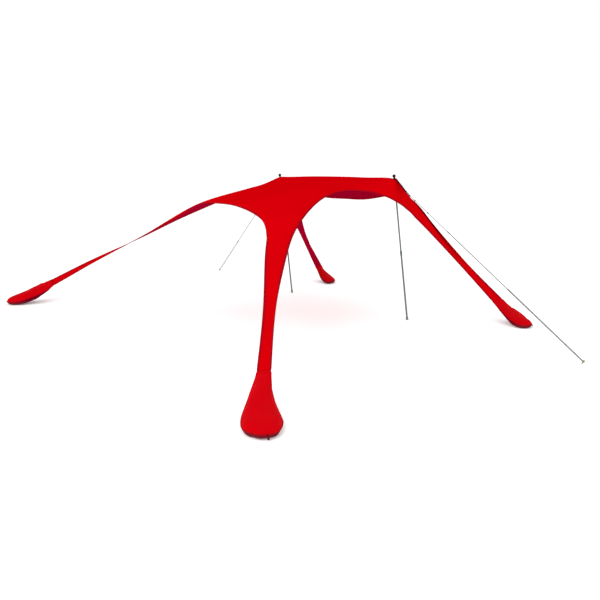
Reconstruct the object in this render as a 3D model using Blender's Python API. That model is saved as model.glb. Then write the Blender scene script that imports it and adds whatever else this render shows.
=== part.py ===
"""Stretch tent: one stretched sheet with four long legs, on two poles, four sandbags and two guy lines."""
import math

import bmesh
import bpy
import numpy as np
from mathutils import Matrix, Vector

# Layout in metres. X runs along the line of the poles, -Y is the side of the long legs, Z is up.
MIDDLE = (-0.030, -0.154)            # middle of the footprint, which becomes the origin
TIP = (1.33, 1.05, 1.955)            # seat of the sheet on the right pole of a level pitch, left mirrored
LEAN = 0.009                         # share by which the pitch rises per metre towards the right
POLE_FOOT = {"left": (-1.35, 1.30), "right": (1.30, 1.40)}
STAKE_FOOT = {"left": (-4.10, 1.50), "right": (4.04, 1.41)}
GAP = 0.0003                         # clearance between touching pieces
SEAM_GAP = 0.0006                    # clearance between two panels of the sheet
SHEET = 0.003                        # thickness of the sheet

# Hems as smooth curves through these points (right-hand side, mirrored for the left, where the front leg
# hangs a little differently: its side hem rises and its front hem drops by the given heights).
FRONT_HEM = [(0.00, -0.86, 1.66), (0.50, -0.89, 1.64), (1.05, -0.87, 1.48),
             (1.47, -1.12, 1.25), (2.22, -1.66, 0.77), (2.95, -2.235, 0.283)]
SIDE_HEM = [(3.112, -2.178, 0.317), (2.35, -1.58, 0.79), (1.88, -1.15, 1.06), (1.50, -0.76, 1.32),
            (1.18, -0.29, 1.57), (1.04, 0.37, 1.83), (1.46, 0.94, 1.72), (1.55, 1.30, 1.43),
            (1.77, 1.84, 0.85), (2.04, 2.34, 0.26)]
REAR_HEM = [(0.00, 1.30, 1.65), (0.60, 1.33, 1.67), (1.12, 1.50, 1.71),
            (1.42, 1.52, 1.52), (1.75, 1.85, 0.98), (2.08, 2.51, 0.28)]
SIDE_CORNER = 5                      # side hem point that is a corner of the middle square
LEFT_SIDE_RISE = [0.0, 0.015, 0.020, 0.020, 0.015, 0.0, 0.0, 0.0, 0.0, 0.0]   # at each point of the side hem
LEFT_FRONT_DROP = [0.0, 0.0, 0.015, 0.020, 0.010, 0.0]   # at each point of the front hem
CURVE_STEPS = 400                    # fineness with which a curve is measured

# Form of the sheet away from its hems.
RIDGE_END = 1.955                    # height of the ridge beside a pole
RIDGE_CROWN = 0.027                  # how much higher it is half-way between the poles
RIDGE_WIDE = 0.10                    # how far the ridge spreads to each side
CREST_HIGH = 0.10                    # rise between the hems where a front leg starts
CREST_ROW = 3
CREST_REACH = 8

# Net of the canopy: a middle square with an arm on each side.
SQUARE = 12                          # squares across the middle and across an arm
ARM = 18                             # squares along an arm
SEAM = 7                             # arm row where roof and leg panels meet
EYES = {"left": (2, 17), "right": (17, 2)}   # nodes of the net that sit on the poles
EYE = 0.0075                         # radius of the hole in the sheet
SEAT = 0.032                         # radius of the flat seat of the sheet round the hole

# Sandbags: where the toe lies and the way it points (degrees from +X), half width and height, the share of
# the length where it is widest, how late it flares and turns flat, how far it keeps the leg's way, and
# over how much of its length it settles into the toe's way.
SEAM_HIGH = 0.052                    # height of a bag's middle plane at its toe
SETTLE_HIGH = 0.020                  # height towards which its centre line sinks before the toe
BAGS = {
    "front_left": {"toe": (-3.205, -2.861), "way": -108, "half": 0.180, "high": 0.092, "widest": 0.68,
                   "flare": 0.6, "flat": 0.7, "keep": 0.05, "settle": 0.44},
    "front_right": {"toe": (3.790, -2.678), "way": -20, "half": 0.178, "high": 0.080, "widest": 0.84,
                    "flare": 2.7, "flat": 0.6, "keep": 0.16, "settle": 0.54},
    "rear_left": {"toe": (-1.591, 2.406), "way": 20, "half": 0.150, "high": 0.058, "widest": 0.73,
                  "flare": 1.6, "flat": 0.35, "keep": 0.28, "settle": 0.30},
    "rear_right": {"toe": (2.673, 2.379), "way": 12, "half": 0.173, "high": 0.067, "widest": 0.60,
                   "flare": 1.15, "flat": 0.5, "keep": 0.25, "settle": 0.28},
}
BAG_MOUTH = 0.010                    # half thickness of a bag at its mouth
BAG_RINGS = 22
BAG_AROUND = 28
TOE_LOOP_WIDE = 0.020
TOE_LOOP_THICK = 0.004
TOE_LOOP_PATH = [(0.000, 0.000), (0.006, 0.000), (0.018, -0.012), (0.034, -0.032)]

# Poles and their fittings.
POLE_LOWER = 0.0125                  # radius of the lower section
POLE_UPPER = 0.0105                  # radius of the upper section
SLEEVE = 0.0150                      # outer radius of the joining sleeve
SLEEVE_HALF = 0.030                  # half of its length
JOINT_AT = 0.49                      # share of the pole's length at which it sits
EASE = 0.001                         # small edge bevel on turned pieces
BOOT = [(0.021, -0.020), (0.021, 0.012), (0.0165, 0.045)]   # pole foot as radius and height
PIN = 0.0055                         # radius of the pin through the sheet
PIN_LENGTH = 0.047                   # how far the pin stands above the sheet
PATCH = [(0.029, 0.0), (0.029, 0.0015), (0.027, 0.003), (0.013, 0.004), (0.011, 0.005)]
COLLAR = 0.009                       # outer radius of the strap's collar on the pin
COLLAR_HIGH = 0.006
KNOB = [(0.0, 0.0540), (0.0100, 0.0520), (0.0172, 0.0450), (0.0200, 0.0370), (0.0175, 0.0280),
        (0.0120, 0.0210), (0.0095, 0.0120), (0.0095, 0.0)]   # knob as radius and height, from the top down
KNOB_BORE = 0.036                    # depth of the knob's hole
KNOB_BORE_TIP = 0.0375

# Guy lines.
STRAP_WIDE = 0.026
STRAP_THICK = 0.0025
STRAP_LEVEL = 0.024                  # stretch of the strap that leaves the collar level
RING_OUT = 0.210                     # how far out from the collar the ring hangs, and how high
RING_HIGH = 1.812
RING = 0.014                         # middle radius of the ring
RING_WIRE = 0.0026
CORD = 0.0030                        # radius of the upper cord
RUNNER_AT = 0.61                     # share of the line from the ring to the stake
RUNNER = [(0.006, 0.0), (0.0085, 0.004), (0.0085, 0.050), (0.006, 0.054)]
LOOP_CORD = 0.0022                   # radius of the doubled cord
POST = 0.0065                        # radius of a stake
HOOK_AT = 0.030                      # how far up the stake the cord loops round it
STAKE_HEAD = [(0.0065, 0.008), (0.0125, 0.009), (0.0125, 0.016), (0.008, 0.020)]

SIDES = 20                           # sides of a turned piece
SMOOTH_BELOW = math.radians(40)      # edges flatter than this are shaded smooth

# Colours as seen in daylight (red, green, blue from 0 to 1), with roughness and metallic.
FINISH = {
    "roof": ((0.85, 0.02, 0.03), 0.62, 0.0),
    "leg": ((0.84, 0.02, 0.05), 0.62, 0.0),
    "bag": ((0.80, 0.01, 0.04), 0.66, 0.0),
    "loop": ((0.36, 0.04, 0.08), 0.75, 0.0),
    "alloy": ((0.62, 0.64, 0.64), 0.32, 1.0),
    "sleeve": ((0.50, 0.52, 0.53), 0.38, 1.0),
    "rubber": ((0.10, 0.10, 0.11), 0.80, 0.0),
    "knob": ((0.34, 0.06, 0.07), 0.45, 0.0),
    "patch": ((0.62, 0.02, 0.06), 0.70, 0.0),
    "strap": ((0.34, 0.10, 0.12), 0.80, 0.0),
    "ring": ((0.30, 0.31, 0.32), 0.35, 1.0),
    "cord": ((0.66, 0.66, 0.64), 0.70, 0.0),
    "runner": ((0.20, 0.20, 0.21), 0.50, 0.0),
    "stake": ((0.60, 0.59, 0.46), 0.45, 0.6),
}


def linear(channel):
    """Daylight colour value to the renderer's linear value."""
    return channel / 12.92 if channel <= 0.04045 else ((channel + 0.055) / 1.055) ** 2.4


def unit(v):
    """Vector scaled to length one."""
    v = np.asarray(v, float)
    return v / np.linalg.norm(v)


def ease(t):
    """Smooth step from 0 to 1."""
    t = min(1.0, max(0.0, t))
    return t * t * (3 - 2 * t)


def mirrored(points):
    """Points reflected from one side of the tent to the other."""
    return np.asarray(points, float) * [-1, 1, 1]


def leaned(points):
    """Points of the level pitch, raised towards the right and lowered towards the left."""
    places = np.array(points, float)
    places[..., 2] *= 1 + LEAN * places[..., 0]
    return places


def level_tip(side):
    """Where the sheet would sit on a pole of a level pitch."""
    return np.array(TIP) if side == "right" else mirrored(TIP)


def tip_of(side):
    """Where the sheet sits on a pole."""
    return leaned(level_tip(side))


def pole_axis(side):
    """Direction of a pole, from its foot to its tip."""
    return unit(tip_of(side) - [*POLE_FOOT[side], 0.0])


# Adding pieces to the scene

def frame(name, parent, location, turn=None):
    """Empty that places the pieces of one assembly."""
    empty = bpy.data.objects.new(name, None)
    empty.parent = parent
    empty.location = location
    empty.rotation_mode = "QUATERNION"
    if turn is not None:
        empty.rotation_quaternion = turn
    bpy.context.scene.collection.objects.link(empty)
    return empty


def add(name, data, finish, parent, location=(0, 0, 0)):
    """Add a mesh or curve to the scene as one named object with its own material."""
    colour, roughness, metallic = FINISH[finish]
    material = bpy.data.materials.new(name + "_material")
    material.use_nodes = True
    shader = material.node_tree.nodes["Principled BSDF"]
    shader.inputs["Base Color"].default_value = [linear(c) for c in colour] + [1.0]
    shader.inputs["Roughness"].default_value = roughness
    shader.inputs["Metallic"].default_value = metallic
    data.materials.append(material)
    thing = bpy.data.objects.new(name, data)
    thing.parent = parent
    thing.location = location
    thing.rotation_mode = "QUATERNION"
    bpy.context.scene.collection.objects.link(thing)
    return thing


def finished(body):
    """Mesh of a closed bmesh body, with its faces turned out and its round sides shaded smooth."""
    bmesh.ops.recalc_face_normals(body, faces=body.faces)
    mesh = bpy.data.meshes.new("mesh")
    body.to_mesh(mesh)
    body.free()
    mesh.shade_smooth()
    mesh.set_sharp_from_angle(angle=SMOOTH_BELOW)
    return mesh


def turned(profile, closed=False, sides=SIDES):
    """Body spun about Z from pairs of radius and height."""
    body = bmesh.new()
    verts = [body.verts.new((radius, 0.0, height)) for radius, height in profile]
    edges = [body.edges.new(pair) for pair in zip(verts, verts[1:])]
    if closed:
        edges.append(body.edges.new((verts[-1], verts[0])))
    bmesh.ops.spin(body, geom=verts + edges, cent=(0, 0, 0), axis=(0, 0, 1), angle=2 * math.pi,
                   steps=sides, use_merge=True)
    bmesh.ops.remove_doubles(body, verts=body.verts, dist=GAP / 10)
    return body


def rod(profile):
    """Profile of a solid rod: its outline with both ends closed on the axis."""
    return [(0.0, profile[0][1])] + profile + [(0.0, profile[-1][1])]


def cut_level(body, turn):
    """Cut a leaning body flat at ground level, through its own origin."""
    down = turn.inverted() @ Vector((0, 0, -1))
    everything = body.verts[:] + body.edges[:] + body.faces[:]
    cut = bmesh.ops.bisect_plane(body, geom=everything, dist=GAP / 10, plane_co=(0, 0, 0),
                                 plane_no=down, clear_outer=True)
    rim = [piece for piece in cut["geom_cut"] if isinstance(piece, bmesh.types.BMEdge)]
    bmesh.ops.edgeloop_fill(body, edges=rim)
    return body


def cord(name, points, radius, parent, cyclic=False):
    """Round cord through points."""
    curve = bpy.data.curves.new(name, "CURVE")
    curve.dimensions = "3D"
    curve.bevel_depth = radius
    curve.bevel_resolution = 2
    curve.use_fill_caps = not cyclic
    spline = curve.splines.new("POLY")
    spline.points.add(len(points) - 1)
    for point, place in zip(spline.points, points):
        point.co = (*place, 1.0)
    spline.use_cyclic_u = cyclic
    return add(name, curve, "cord", parent)


def webbing(name, path, across, wide, thick, finish, parent, location=(0, 0, 0)):
    """Flat webbing along a path, thickened to both sides."""
    points = []
    for place in path:
        for half in (-wide / 2, wide / 2):
            points.append(np.asarray(place, float) + unit(across) * half)
    faces = [(2 * k, 2 * k + 1, 2 * k + 3, 2 * k + 2) for k in range(len(path) - 1)]
    mesh = bpy.data.meshes.new(name)
    mesh.from_pydata(points, [], faces)
    piece = add(name, mesh, finish, parent, location)
    solid = piece.modifiers.new("Thickness", "SOLIDIFY")
    solid.thickness = thick
    solid.offset = 0.0


# The canopy's curves

def hem_curve(points):
    """Natural cubic curve through the points: its places, their distance along it, and the points' own."""
    p = np.asarray(points, float)
    s = np.concatenate([[0], np.cumsum(np.linalg.norm(np.diff(p, axis=0), axis=1))])
    h = np.diff(s)
    last = len(p) - 1
    a = np.eye(last + 1)
    b = np.zeros((last + 1, 3))
    for i in range(1, last):
        a[i, i - 1:i + 2] = h[i - 1], 2 * (h[i - 1] + h[i]), h[i]
        b[i] = 6 * ((p[i + 1] - p[i]) / h[i] - (p[i] - p[i - 1]) / h[i - 1])
    m = np.linalg.solve(a, b)
    t = np.linspace(0, s[-1], CURVE_STEPS)
    k = np.clip(np.searchsorted(s, t, side="right") - 1, 0, last - 1)
    u = (s[k + 1] - t)[:, None]
    v = (t - s[k])[:, None]
    g = h[k][:, None]
    curve = (m[k] * u ** 3 + m[k + 1] * v ** 3) / (6 * g)
    curve += (p[k] / g - m[k] * g / 6) * u + (p[k + 1] / g - m[k + 1] * g / 6) * v
    return curve, t, s


def even(curve, steps):
    """Points at even spacing along a curve, ends included."""
    s = np.concatenate([[0], np.cumsum(np.linalg.norm(np.diff(curve, axis=0), axis=1))])
    at = np.linspace(0, s[-1], steps + 1)
    return np.array([[np.interp(x, s, curve[:, c]) for c in range(3)] for x in at])


# The canopy's net. A key (i, j) runs over the middle square, and past its sides over the arms:
# front left i < 0, front right j < 0, rear left j > SQUARE, rear right i > SQUARE.

def hem_points():
    """Fixed places of all the nodes on the four hems and on the ends of the legs."""
    n, m = SQUARE, ARM
    left_front = mirrored(FRONT_HEM) - np.array(LEFT_FRONT_DROP)[:, None] * [0, 0, 1]
    front, _, _ = hem_curve(np.concatenate([left_front[::-1], FRONT_HEM[1:]]))
    rear, _, _ = hem_curve(np.concatenate([mirrored(REAR_HEM)[::-1], REAR_HEM[1:]]))
    half = CURVE_STEPS // 2
    rows = {
        "right_front": even(front[half:], m),
        "left_front": even(front[:half][::-1], m),
        "right_rear": even(rear[half:], m),
    }
    left_side = mirrored(SIDE_HEM) + np.array(LEFT_SIDE_RISE)[:, None] * [0, 0, 1]
    for name, points in (("right", SIDE_HEM), ("left", left_side)):
        side, t, s = hem_curve(points)
        corner = int(np.argmin(abs(t - s[SIDE_CORNER])))
        rows[name + "_to_front"] = even(side[:corner + 1][::-1], m)
        rows[name + "_to_rear"] = even(side[corner:], m)
    rows["right_rear"][0][0] = 0.0
    fixed = {}
    for r in range(m + 1):
        fixed[(-r, 0)] = rows["left_front"][r]
        fixed[(0, -r)] = rows["right_front"][r]
        fixed[(n, -r)] = rows["right_to_front"][r]
        fixed[(-r, n)] = rows["left_to_front"][r]
        fixed[(n + r, 0)] = rows["right_to_rear"][r]
        fixed[(0, n + r)] = rows["left_to_rear"][r]
        fixed[(n + r, n)] = rows["right_rear"][r]
        fixed[(n, n + r)] = mirrored(rows["right_rear"][r])
    for j in range(1, n):
        f = j / n
        for first, last, key in (((0, -m), (n, -m), (j, -m)), ((-m, 0), (-m, n), (-m, j)),
                                 ((n + m, 0), (n + m, n), (n + m, j)), ((0, n + m), (n, n + m), (j, n + m))):
            fixed[key] = (1 - f) * fixed[first] + f * fixed[last]
    return fixed


def net_keys():
    """All keys of the net."""
    n, m = SQUARE, ARM
    keys = [(i, j) for i in range(n + 1) for j in range(n + 1)]
    for r in range(1, m + 1):
        for j in range(n + 1):
            keys += [(-r, j), (n + r, j), (j, -r), (j, n + r)]
    return keys


def crest(key):
    """How far the sheet rises between the hems where a front leg starts."""
    i, j = key
    rise = 0.0
    for across, along in ((i, -j), (j, -i)):
        off = along - CREST_ROW
        if 0 <= across <= SQUARE and abs(off) < CREST_REACH:
            fade = math.cos(math.pi * off / (2 * CREST_REACH)) ** 2
            rise += CREST_HIGH * math.sin(math.pi * across / SQUARE) * fade
    return rise


def canopy_net():
    """Places of all nodes of the stretched sheet: its hems are fixed, and it spans smoothly between them."""
    keys = net_keys()
    number = {key: i for i, key in enumerate(keys)}
    count = len(keys)
    grid = np.zeros((count, count))
    for (i, j), a in number.items():
        for other in ((i + 1, j), (i, j + 1)):
            b = number.get(other)
            if b is not None:
                grid[a, a] += 1
                grid[b, b] += 1
                grid[a, b] -= 1
                grid[b, a] -= 1
    fixed = hem_points()
    for side, key in EYES.items():
        fixed[key] = level_tip(side)
    held = np.array([number[key] for key in fixed])
    free = np.setdiff1d(np.arange(count), held)
    net = np.zeros((count, 3))
    net[held] = np.array(list(fixed.values()))

    def settle(stiff, columns, pull=None, target=None):
        a = stiff[np.ix_(free, free)].copy()
        b = -stiff[np.ix_(free, held)] @ net[held][:, columns]
        if pull is not None:
            a += np.diag(pull[free])
            b += (pull * target)[free][:, None]
        net[np.ix_(free, columns)] = np.linalg.solve(a, b)

    bend = grid @ grid
    settle(bend + 0.35 * grid, [0, 1])
    off_line = net[:, 1] - TIP[1]
    past_tip = np.maximum(0, abs(net[:, 0]) - TIP[0])
    pull = 4.0 * np.exp(-(off_line / RIDGE_WIDE) ** 2 - (past_tip / 0.03) ** 2)
    ridge = RIDGE_END + RIDGE_CROWN * np.maximum(0, 1 - (net[:, 0] / TIP[0]) ** 2)
    settle(bend + 0.25 * grid, [2], pull, ridge)
    return {key: leaned(net[number[key]] + [0, 0, crest(key)]) for key in keys}


def net_squares():
    """All squares of the net, each with the arm it belongs to and its row on that arm."""
    n, m = SQUARE, ARM
    squares = []
    for i in range(-m, n + m):
        for j in range(-m, n + m):
            if 0 <= i < n and 0 <= j < n:
                arm, row = "middle", 0
            elif i < 0 <= j < n:
                arm, row = "front_left", -i
            elif j < 0 <= i < n:
                arm, row = "front_right", -j
            elif i >= n > j >= 0:
                arm, row = "rear_right", i - n + 1
            elif j >= n > i >= 0:
                arm, row = "rear_left", j - n + 1
            else:
                continue
            squares.append((arm, row, [(i, j), (i + 1, j), (i + 1, j + 1), (i, j + 1)]))
    return squares


def net_normals(net, squares):
    """Upward direction of the sheet at every node."""
    normals = {key: np.zeros(3) for key in net}
    for _, _, corners in squares:
        a, b, c, d = (net[key] for key in corners)
        for key in corners:
            normals[key] += np.cross(c - a, d - b)
    return {key: unit(v) for key, v in normals.items()}


def next_key(key, step):
    """Neighbour of a key one step further out along its arm (or back, for step -1)."""
    i, j = key
    if j < 0:
        return (i, j - step)
    if i < 0:
        return (i - step, j)
    if i > SQUARE:
        return (i + step, j)
    return (i, j + step)


def arm_row(key):
    """How far out on its arm a key lies."""
    i, j = key
    return max(-i, -j, i - SQUARE, j - SQUARE, 0)


def thickened(points, ways, faces):
    """Body of a sheet: two skins along each point's own direction, joined round every edge and hole."""
    body = bmesh.new()
    upper = [body.verts.new(place + way * SHEET / 2) for place, way in zip(points, ways)]
    lower = [body.verts.new(place - way * SHEET / 2) for place, way in zip(points, ways)]
    twin = dict(zip(upper, lower))
    for face in faces:
        body.faces.new([upper[k] for k in face])
    bmesh.ops.triangulate(body, faces=body.faces[:], quad_method="FIXED")
    skin = body.faces[:]
    rim = [(loop.vert, loop.link_loop_next.vert) for face in skin for loop in face.loops
           if loop.edge.is_boundary]
    for face in skin:
        body.faces.new([twin[vert] for vert in list(face.verts)[::-1]])
    for first, second in rim:
        ring = [second, first, twin[first], twin[second]]
        if first.co.x < second.co.x:   # neighbours split their rims along the same diagonals
            ring = ring[1:] + ring[:1]
        body.faces.new((ring[0], ring[1], ring[2]))
        body.faces.new((ring[0], ring[2], ring[3]))
    return body


def panel(name, squares, net, normals, finish, inward, tent):
    """One panel of the sheet. It stops half a seam gap short of its neighbour, and a gap short of a bag."""
    number = {}
    points = []
    ways = []
    keys = dict.fromkeys(key for _, _, corners in squares for key in corners)
    for key in keys:
        if key in EYES.values():
            continue
        place = net[key]
        if arm_row(key) == SEAM:
            place = place + unit(net[next_key(key, inward)] - place) * SEAM_GAP / 2
        if arm_row(key) == ARM:
            place = place + unit(net[next_key(key, -1)] - place) * GAP
        number[key] = len(points)
        points.append(place)
        ways.append(normals[key])
    faces = []
    for _, _, corners in squares:
        if not any(eye in corners for eye in EYES.values()):
            faces.append([number[key] for key in corners])
    for side, eye in EYES.items():
        if eye in keys:
            faces += eye_faces(side, net, number, points, ways)
    add(name, finished(thickened(points, ways, faces)), finish, tent)


def eye_faces(side, net, number, points, ways):
    """Faces round a pole's hole: a band down to the flat seat, then the seat with the hole in it."""
    i, j = EYES[side]
    around = [(i - 1, j - 1), (i, j - 1), (i + 1, j - 1), (i + 1, j),
              (i + 1, j + 1), (i, j + 1), (i - 1, j + 1), (i - 1, j)]
    axis = pole_axis(side)
    rings = [[number[key] for key in around]]
    for radius in (SEAT, EYE):
        rings.append(list(range(len(points), len(points) + len(around))))
        for key in around:
            flat = net[key] - net[(i, j)]
            flat = flat - axis * flat.dot(axis)
            points.append(net[(i, j)] + unit(flat) * radius)
            ways.append(axis)
    faces = []
    for outer, inner in zip(rings, rings[1:]):
        for a in range(len(around)):
            b = (a + 1) % len(around)
            faces.append([outer[a], outer[b], inner[b], inner[a]])
    return faces


# Sandbags

def bag_centre(start, leg_way, plan):
    """Centre line of a bag from its mouth to its toe: places and directions at a share of its length."""
    heading = np.array([math.cos(math.radians(plan["way"])), math.sin(math.radians(plan["way"])), 0.0])
    toe = np.array([*plan["toe"], SEAM_HIGH])
    length = np.linalg.norm((toe - start)[:2])
    lead = start + leg_way * length * plan["keep"]
    bend = toe - heading * length * plan["settle"]
    bend[2] = SETTLE_HIGH

    def at(t):
        u = 1 - t
        place = u ** 3 * start + 3 * t * u * u * lead + 3 * t * t * u * bend + t ** 3 * toe
        way = unit(u * u * (lead - start) + 2 * t * u * (bend - lead) + t * t * (toe - bend))
        return place, way

    return at, heading


def bag_ring(centre, side, up, half, top, low):
    """One cross-section of a bag: crowned above, flatter below, and never under the ground."""
    ring = []
    for q in range(BAG_AROUND):
        turn = 2 * math.pi * q / BAG_AROUND
        out = math.copysign(abs(math.cos(turn)) ** 0.92, math.cos(turn))
        lift = math.sin(turn)
        rise = top * abs(lift) ** 0.95 if lift > 0 else -low * abs(lift) ** 0.55
        place = centre + side * half * out + up * rise
        place[2] = max(0.0, place[2])
        ring.append(place)
    return ring


def sandbag(arm, edge, leg_way, tent):
    """Bag that grows out of a leg's end and lies on the ground, with the loop at its toe."""
    plan = BAGS[arm]
    leg_way = unit(leg_way)
    start = 0.5 * (edge[0] + edge[1]) + leg_way * GAP / 2
    half_mouth = 0.5 * np.linalg.norm(edge[1] - edge[0])
    at, heading = bag_centre(start, leg_way, plan)
    side_ground = np.array([-heading[1], heading[0], 0.0])
    side_mouth = unit(edge[1] - edge[0])
    if side_mouth @ side_ground < 0:
        side_mouth = -side_mouth
    body = bmesh.new()
    rings = []
    for k in range(BAG_RINGS + 1):
        t = (k / BAG_RINGS) ** 0.9 * 0.998
        centre, way = at(t)
        lying = ease(t / plan["flat"])
        side = unit((1 - lying) * side_mouth + lying * side_ground)
        up = unit(np.cross(way, side))
        up = up if up[2] > 0 else -up
        tail = max(0.0, (t - plan["widest"]) / (1 - plan["widest"]))
        round_end = math.sqrt(max(0.0, 1 - tail ** 2.2))
        swell = ease(t / plan["widest"]) ** plan["flare"]
        half = (half_mouth + (plan["half"] - half_mouth) * swell) * round_end
        fill = ease(t / 0.62) * round_end ** 0.9
        top = BAG_MOUTH * (1 - t) + plan["high"] * fill
        low = BAG_MOUTH * (1 - t) + SEAM_HIGH * 1.12 * fill
        ring = bag_ring(centre, side, up, half, top, low)
        rings.append([body.verts.new(place - start) for place in ring])
    for ring, following in zip(rings, rings[1:]):
        for a in range(BAG_AROUND):
            b = (a + 1) % BAG_AROUND
            body.faces.new((ring[a], ring[b], following[b], following[a]))
    body.faces.new(rings[0])
    body.faces.new(rings[-1])
    add("sandbag_" + arm, finished(body), "bag", tent, start)
    end, way = at(t)
    path = [way * (GAP + out) + [0, 0, rise] for out, rise in TOE_LOOP_PATH]
    webbing("toe_loop_" + arm, path, side_ground, TOE_LOOP_WIDE, TOE_LOOP_THICK, "loop", tent, end)


# Poles and guy lines

def pole(side, tent):
    """One pole with its foot, sections, sleeve and pin, and the patch, collar and knob over the sheet."""
    axis = Vector(pole_axis(side))
    turn = axis.to_track_quat("Z", "Y")
    foot = (*POLE_FOOT[side], 0.0)
    stand = frame("pole_" + side, tent, foot, turn)
    tip_at = (Vector(tip_of(side)) - Vector(foot)).length
    top_at = tip_at - SHEET / 2 - GAP
    sleeve_at = tip_at * JOINT_AT - SLEEVE_HALF
    boot_top = BOOT[-1][1]
    boot = cut_level(turned(rod(BOOT)), turn)
    add("pole_foot_" + side, finished(boot), "rubber", stand)
    lower = rod([(POLE_LOWER, 0.0), (POLE_LOWER, sleeve_at - boot_top - 2 * GAP)])
    add("pole_lower_" + side, finished(turned(lower)), "alloy", stand, (0, 0, boot_top + GAP))
    joint = rod([(SLEEVE - EASE, 0.0), (SLEEVE, 3 * EASE), (SLEEVE, 2 * SLEEVE_HALF - 3 * EASE),
                 (SLEEVE - EASE, 2 * SLEEVE_HALF)])
    add("pole_sleeve_" + side, finished(turned(joint)), "sleeve", stand, (0, 0, sleeve_at))
    upper_at = sleeve_at + 2 * SLEEVE_HALF + GAP
    shoulder = top_at - upper_at
    pin_top = shoulder + SHEET + PIN_LENGTH
    upper = rod([(POLE_UPPER, 0.0), (POLE_UPPER, shoulder - EASE), (POLE_UPPER - EASE, shoulder),
                 (PIN, shoulder), (PIN, pin_top)])
    add("pole_upper_" + side, finished(turned(upper)), "alloy", stand, (0, 0, upper_at))
    patch_at = tip_at + SHEET / 2 + GAP
    patch_top = PATCH[-1][1]
    patch = [(EYE, 0.0)] + PATCH + [(EYE, patch_top)]
    add("tip_patch_" + side, finished(turned(patch, closed=True)), "patch", stand, (0, 0, patch_at))
    collar_at = patch_at + patch_top + GAP
    bore = PIN + GAP
    collar = [(bore, 0.0), (COLLAR, 0.0), (COLLAR, COLLAR_HIGH), (bore, COLLAR_HIGH)]
    add("guy_collar_" + side, finished(turned(collar, closed=True)), "strap", stand, (0, 0, collar_at))
    knob = KNOB + [(bore, 0.0), (bore, KNOB_BORE), (0.0, KNOB_BORE_TIP)]
    knob_at = collar_at + COLLAR_HIGH + GAP
    add("tip_knob_" + side, finished(turned(knob)), "knob", stand, (0, 0, knob_at))
    return np.array(foot) + np.array(axis) * (collar_at + COLLAR_HIGH / 2)


def guy_frame(side, start, tent):
    """Frame at a guy line's ring, X down the cord and Z square to it, with the cord's length and strap's path."""
    stake = np.array([*STAKE_FOOT[side], 0.0])
    level = unit((stake - start) * [1, 1, 0])
    begin = start + level * (COLLAR + GAP)
    bend = begin + level * STRAP_LEVEL
    ring = start + level * RING_OUT
    ring[2] = RING_HIGH
    drop = unit(ring - bend)
    strap_length = np.linalg.norm(ring - bend) - RING - RING_WIRE - GAP
    reach = np.linalg.norm((stake - ring)[:2])
    slope = math.atan2(ring[2], reach) - math.asin(HOOK_AT / math.hypot(reach, ring[2]))
    way = level * math.cos(slope) - [0, 0, math.sin(slope)]
    lean = level * math.sin(slope) + [0, 0, math.cos(slope)]
    axes = np.array((way, np.cross(lean, way), lean))
    strap = [begin] + [bend + drop * strap_length * f for f in (0.0, 0.25, 0.5, 0.75, 1.0)]
    turn = Matrix(axes.tolist()).transposed().to_quaternion()
    return frame("guy_" + side, tent, ring, turn), (stake - ring) @ way, [axes @ (p - ring) for p in strap]


def guy(side, start, tent):
    """Strap, ring, cord, runner, doubled cord and stake on one side."""
    line, length, strap = guy_frame(side, start, tent)
    webbing("guy_strap_" + side, strap, (0, 1, 0), STRAP_WIDE, STRAP_THICK, "strap", line)
    ring = [(RING + RING_WIRE * math.cos(math.pi * k / 4), RING_WIRE * math.sin(math.pi * k / 4))
            for k in range(8)]
    loop = add("guy_ring_" + side, finished(turned(ring, closed=True, sides=28)), "ring", line)
    loop.rotation_quaternion = Vector((0, 1, 0)).to_track_quat("Z", "Y")
    cord_at = RING + RING_WIRE + GAP
    runner_at = cord_at + (length - cord_at) * RUNNER_AT
    cord("guy_cord_" + side, [(cord_at, 0, 0), (runner_at - GAP, 0, 0)], CORD, line)
    runner = add("guy_runner_" + side, finished(turned(rod(RUNNER))), "runner", line, (runner_at, 0, 0))
    runner.rotation_quaternion = Vector((1, 0, 0)).to_track_quat("Z", "Y")
    bend = POST + GAP + LOOP_CORD
    ends = ((runner_at + RUNNER[-1][1] + GAP + LOOP_CORD + bend, math.pi / 2), (length, -math.pi / 2))
    around = [(x + bend * math.cos(first + math.pi * k / 8), bend * math.sin(first + math.pi * k / 8), 0.0)
              for x, first in ends for k in range(9)]
    cord("guy_loop_" + side, around, LOOP_CORD, line, cyclic=True)
    post = [(POST, -HOOK_AT)] + [(radius, HOOK_AT + height) for radius, height in STAKE_HEAD]
    turn = line.rotation_quaternion
    stake = cut_level(turned(rod(post)), turn)
    add("stake_" + side, finished(stake), "stake", line, (length, 0, -HOOK_AT))


def build():
    """Whole tent."""
    for thing in list(bpy.data.objects):
        bpy.data.objects.remove(thing, do_unlink=True)
    tent = frame("tent", None, (-MIDDLE[0], -MIDDLE[1], 0.0))
    net = canopy_net()
    squares = net_squares()
    normals = net_normals(net, squares)
    roof = [square for square in squares if square[1] <= SEAM]
    panel("roof_panel", roof, net, normals, "roof", -1, tent)
    n, m = SQUARE, ARM
    ends = {
        "front_left": ((-m, 0), (-m, n)),
        "front_right": ((0, -m), (n, -m)),
        "rear_left": ((0, n + m), (n, n + m)),
        "rear_right": ((n + m, 0), (n + m, n)),
    }
    for arm, (first, last) in ends.items():
        leg = [square for square in squares if square[0] == arm and square[1] > SEAM]
        panel("leg_" + arm, leg, net, normals, "leg", 1, tent)
        leg_way = net[first] + net[last] - net[next_key(first, -1)] - net[next_key(last, -1)]
        sandbag(arm, (net[first], net[last]), leg_way, tent)
    for side in ("left", "right"):
        strap_start = pole(side, tent)
        guy(side, strap_start, tent)


build()
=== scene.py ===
import math

import bmesh
import bpy
import numpy as np
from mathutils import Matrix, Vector
from mathutils.bvhtree import BVHTree


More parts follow.
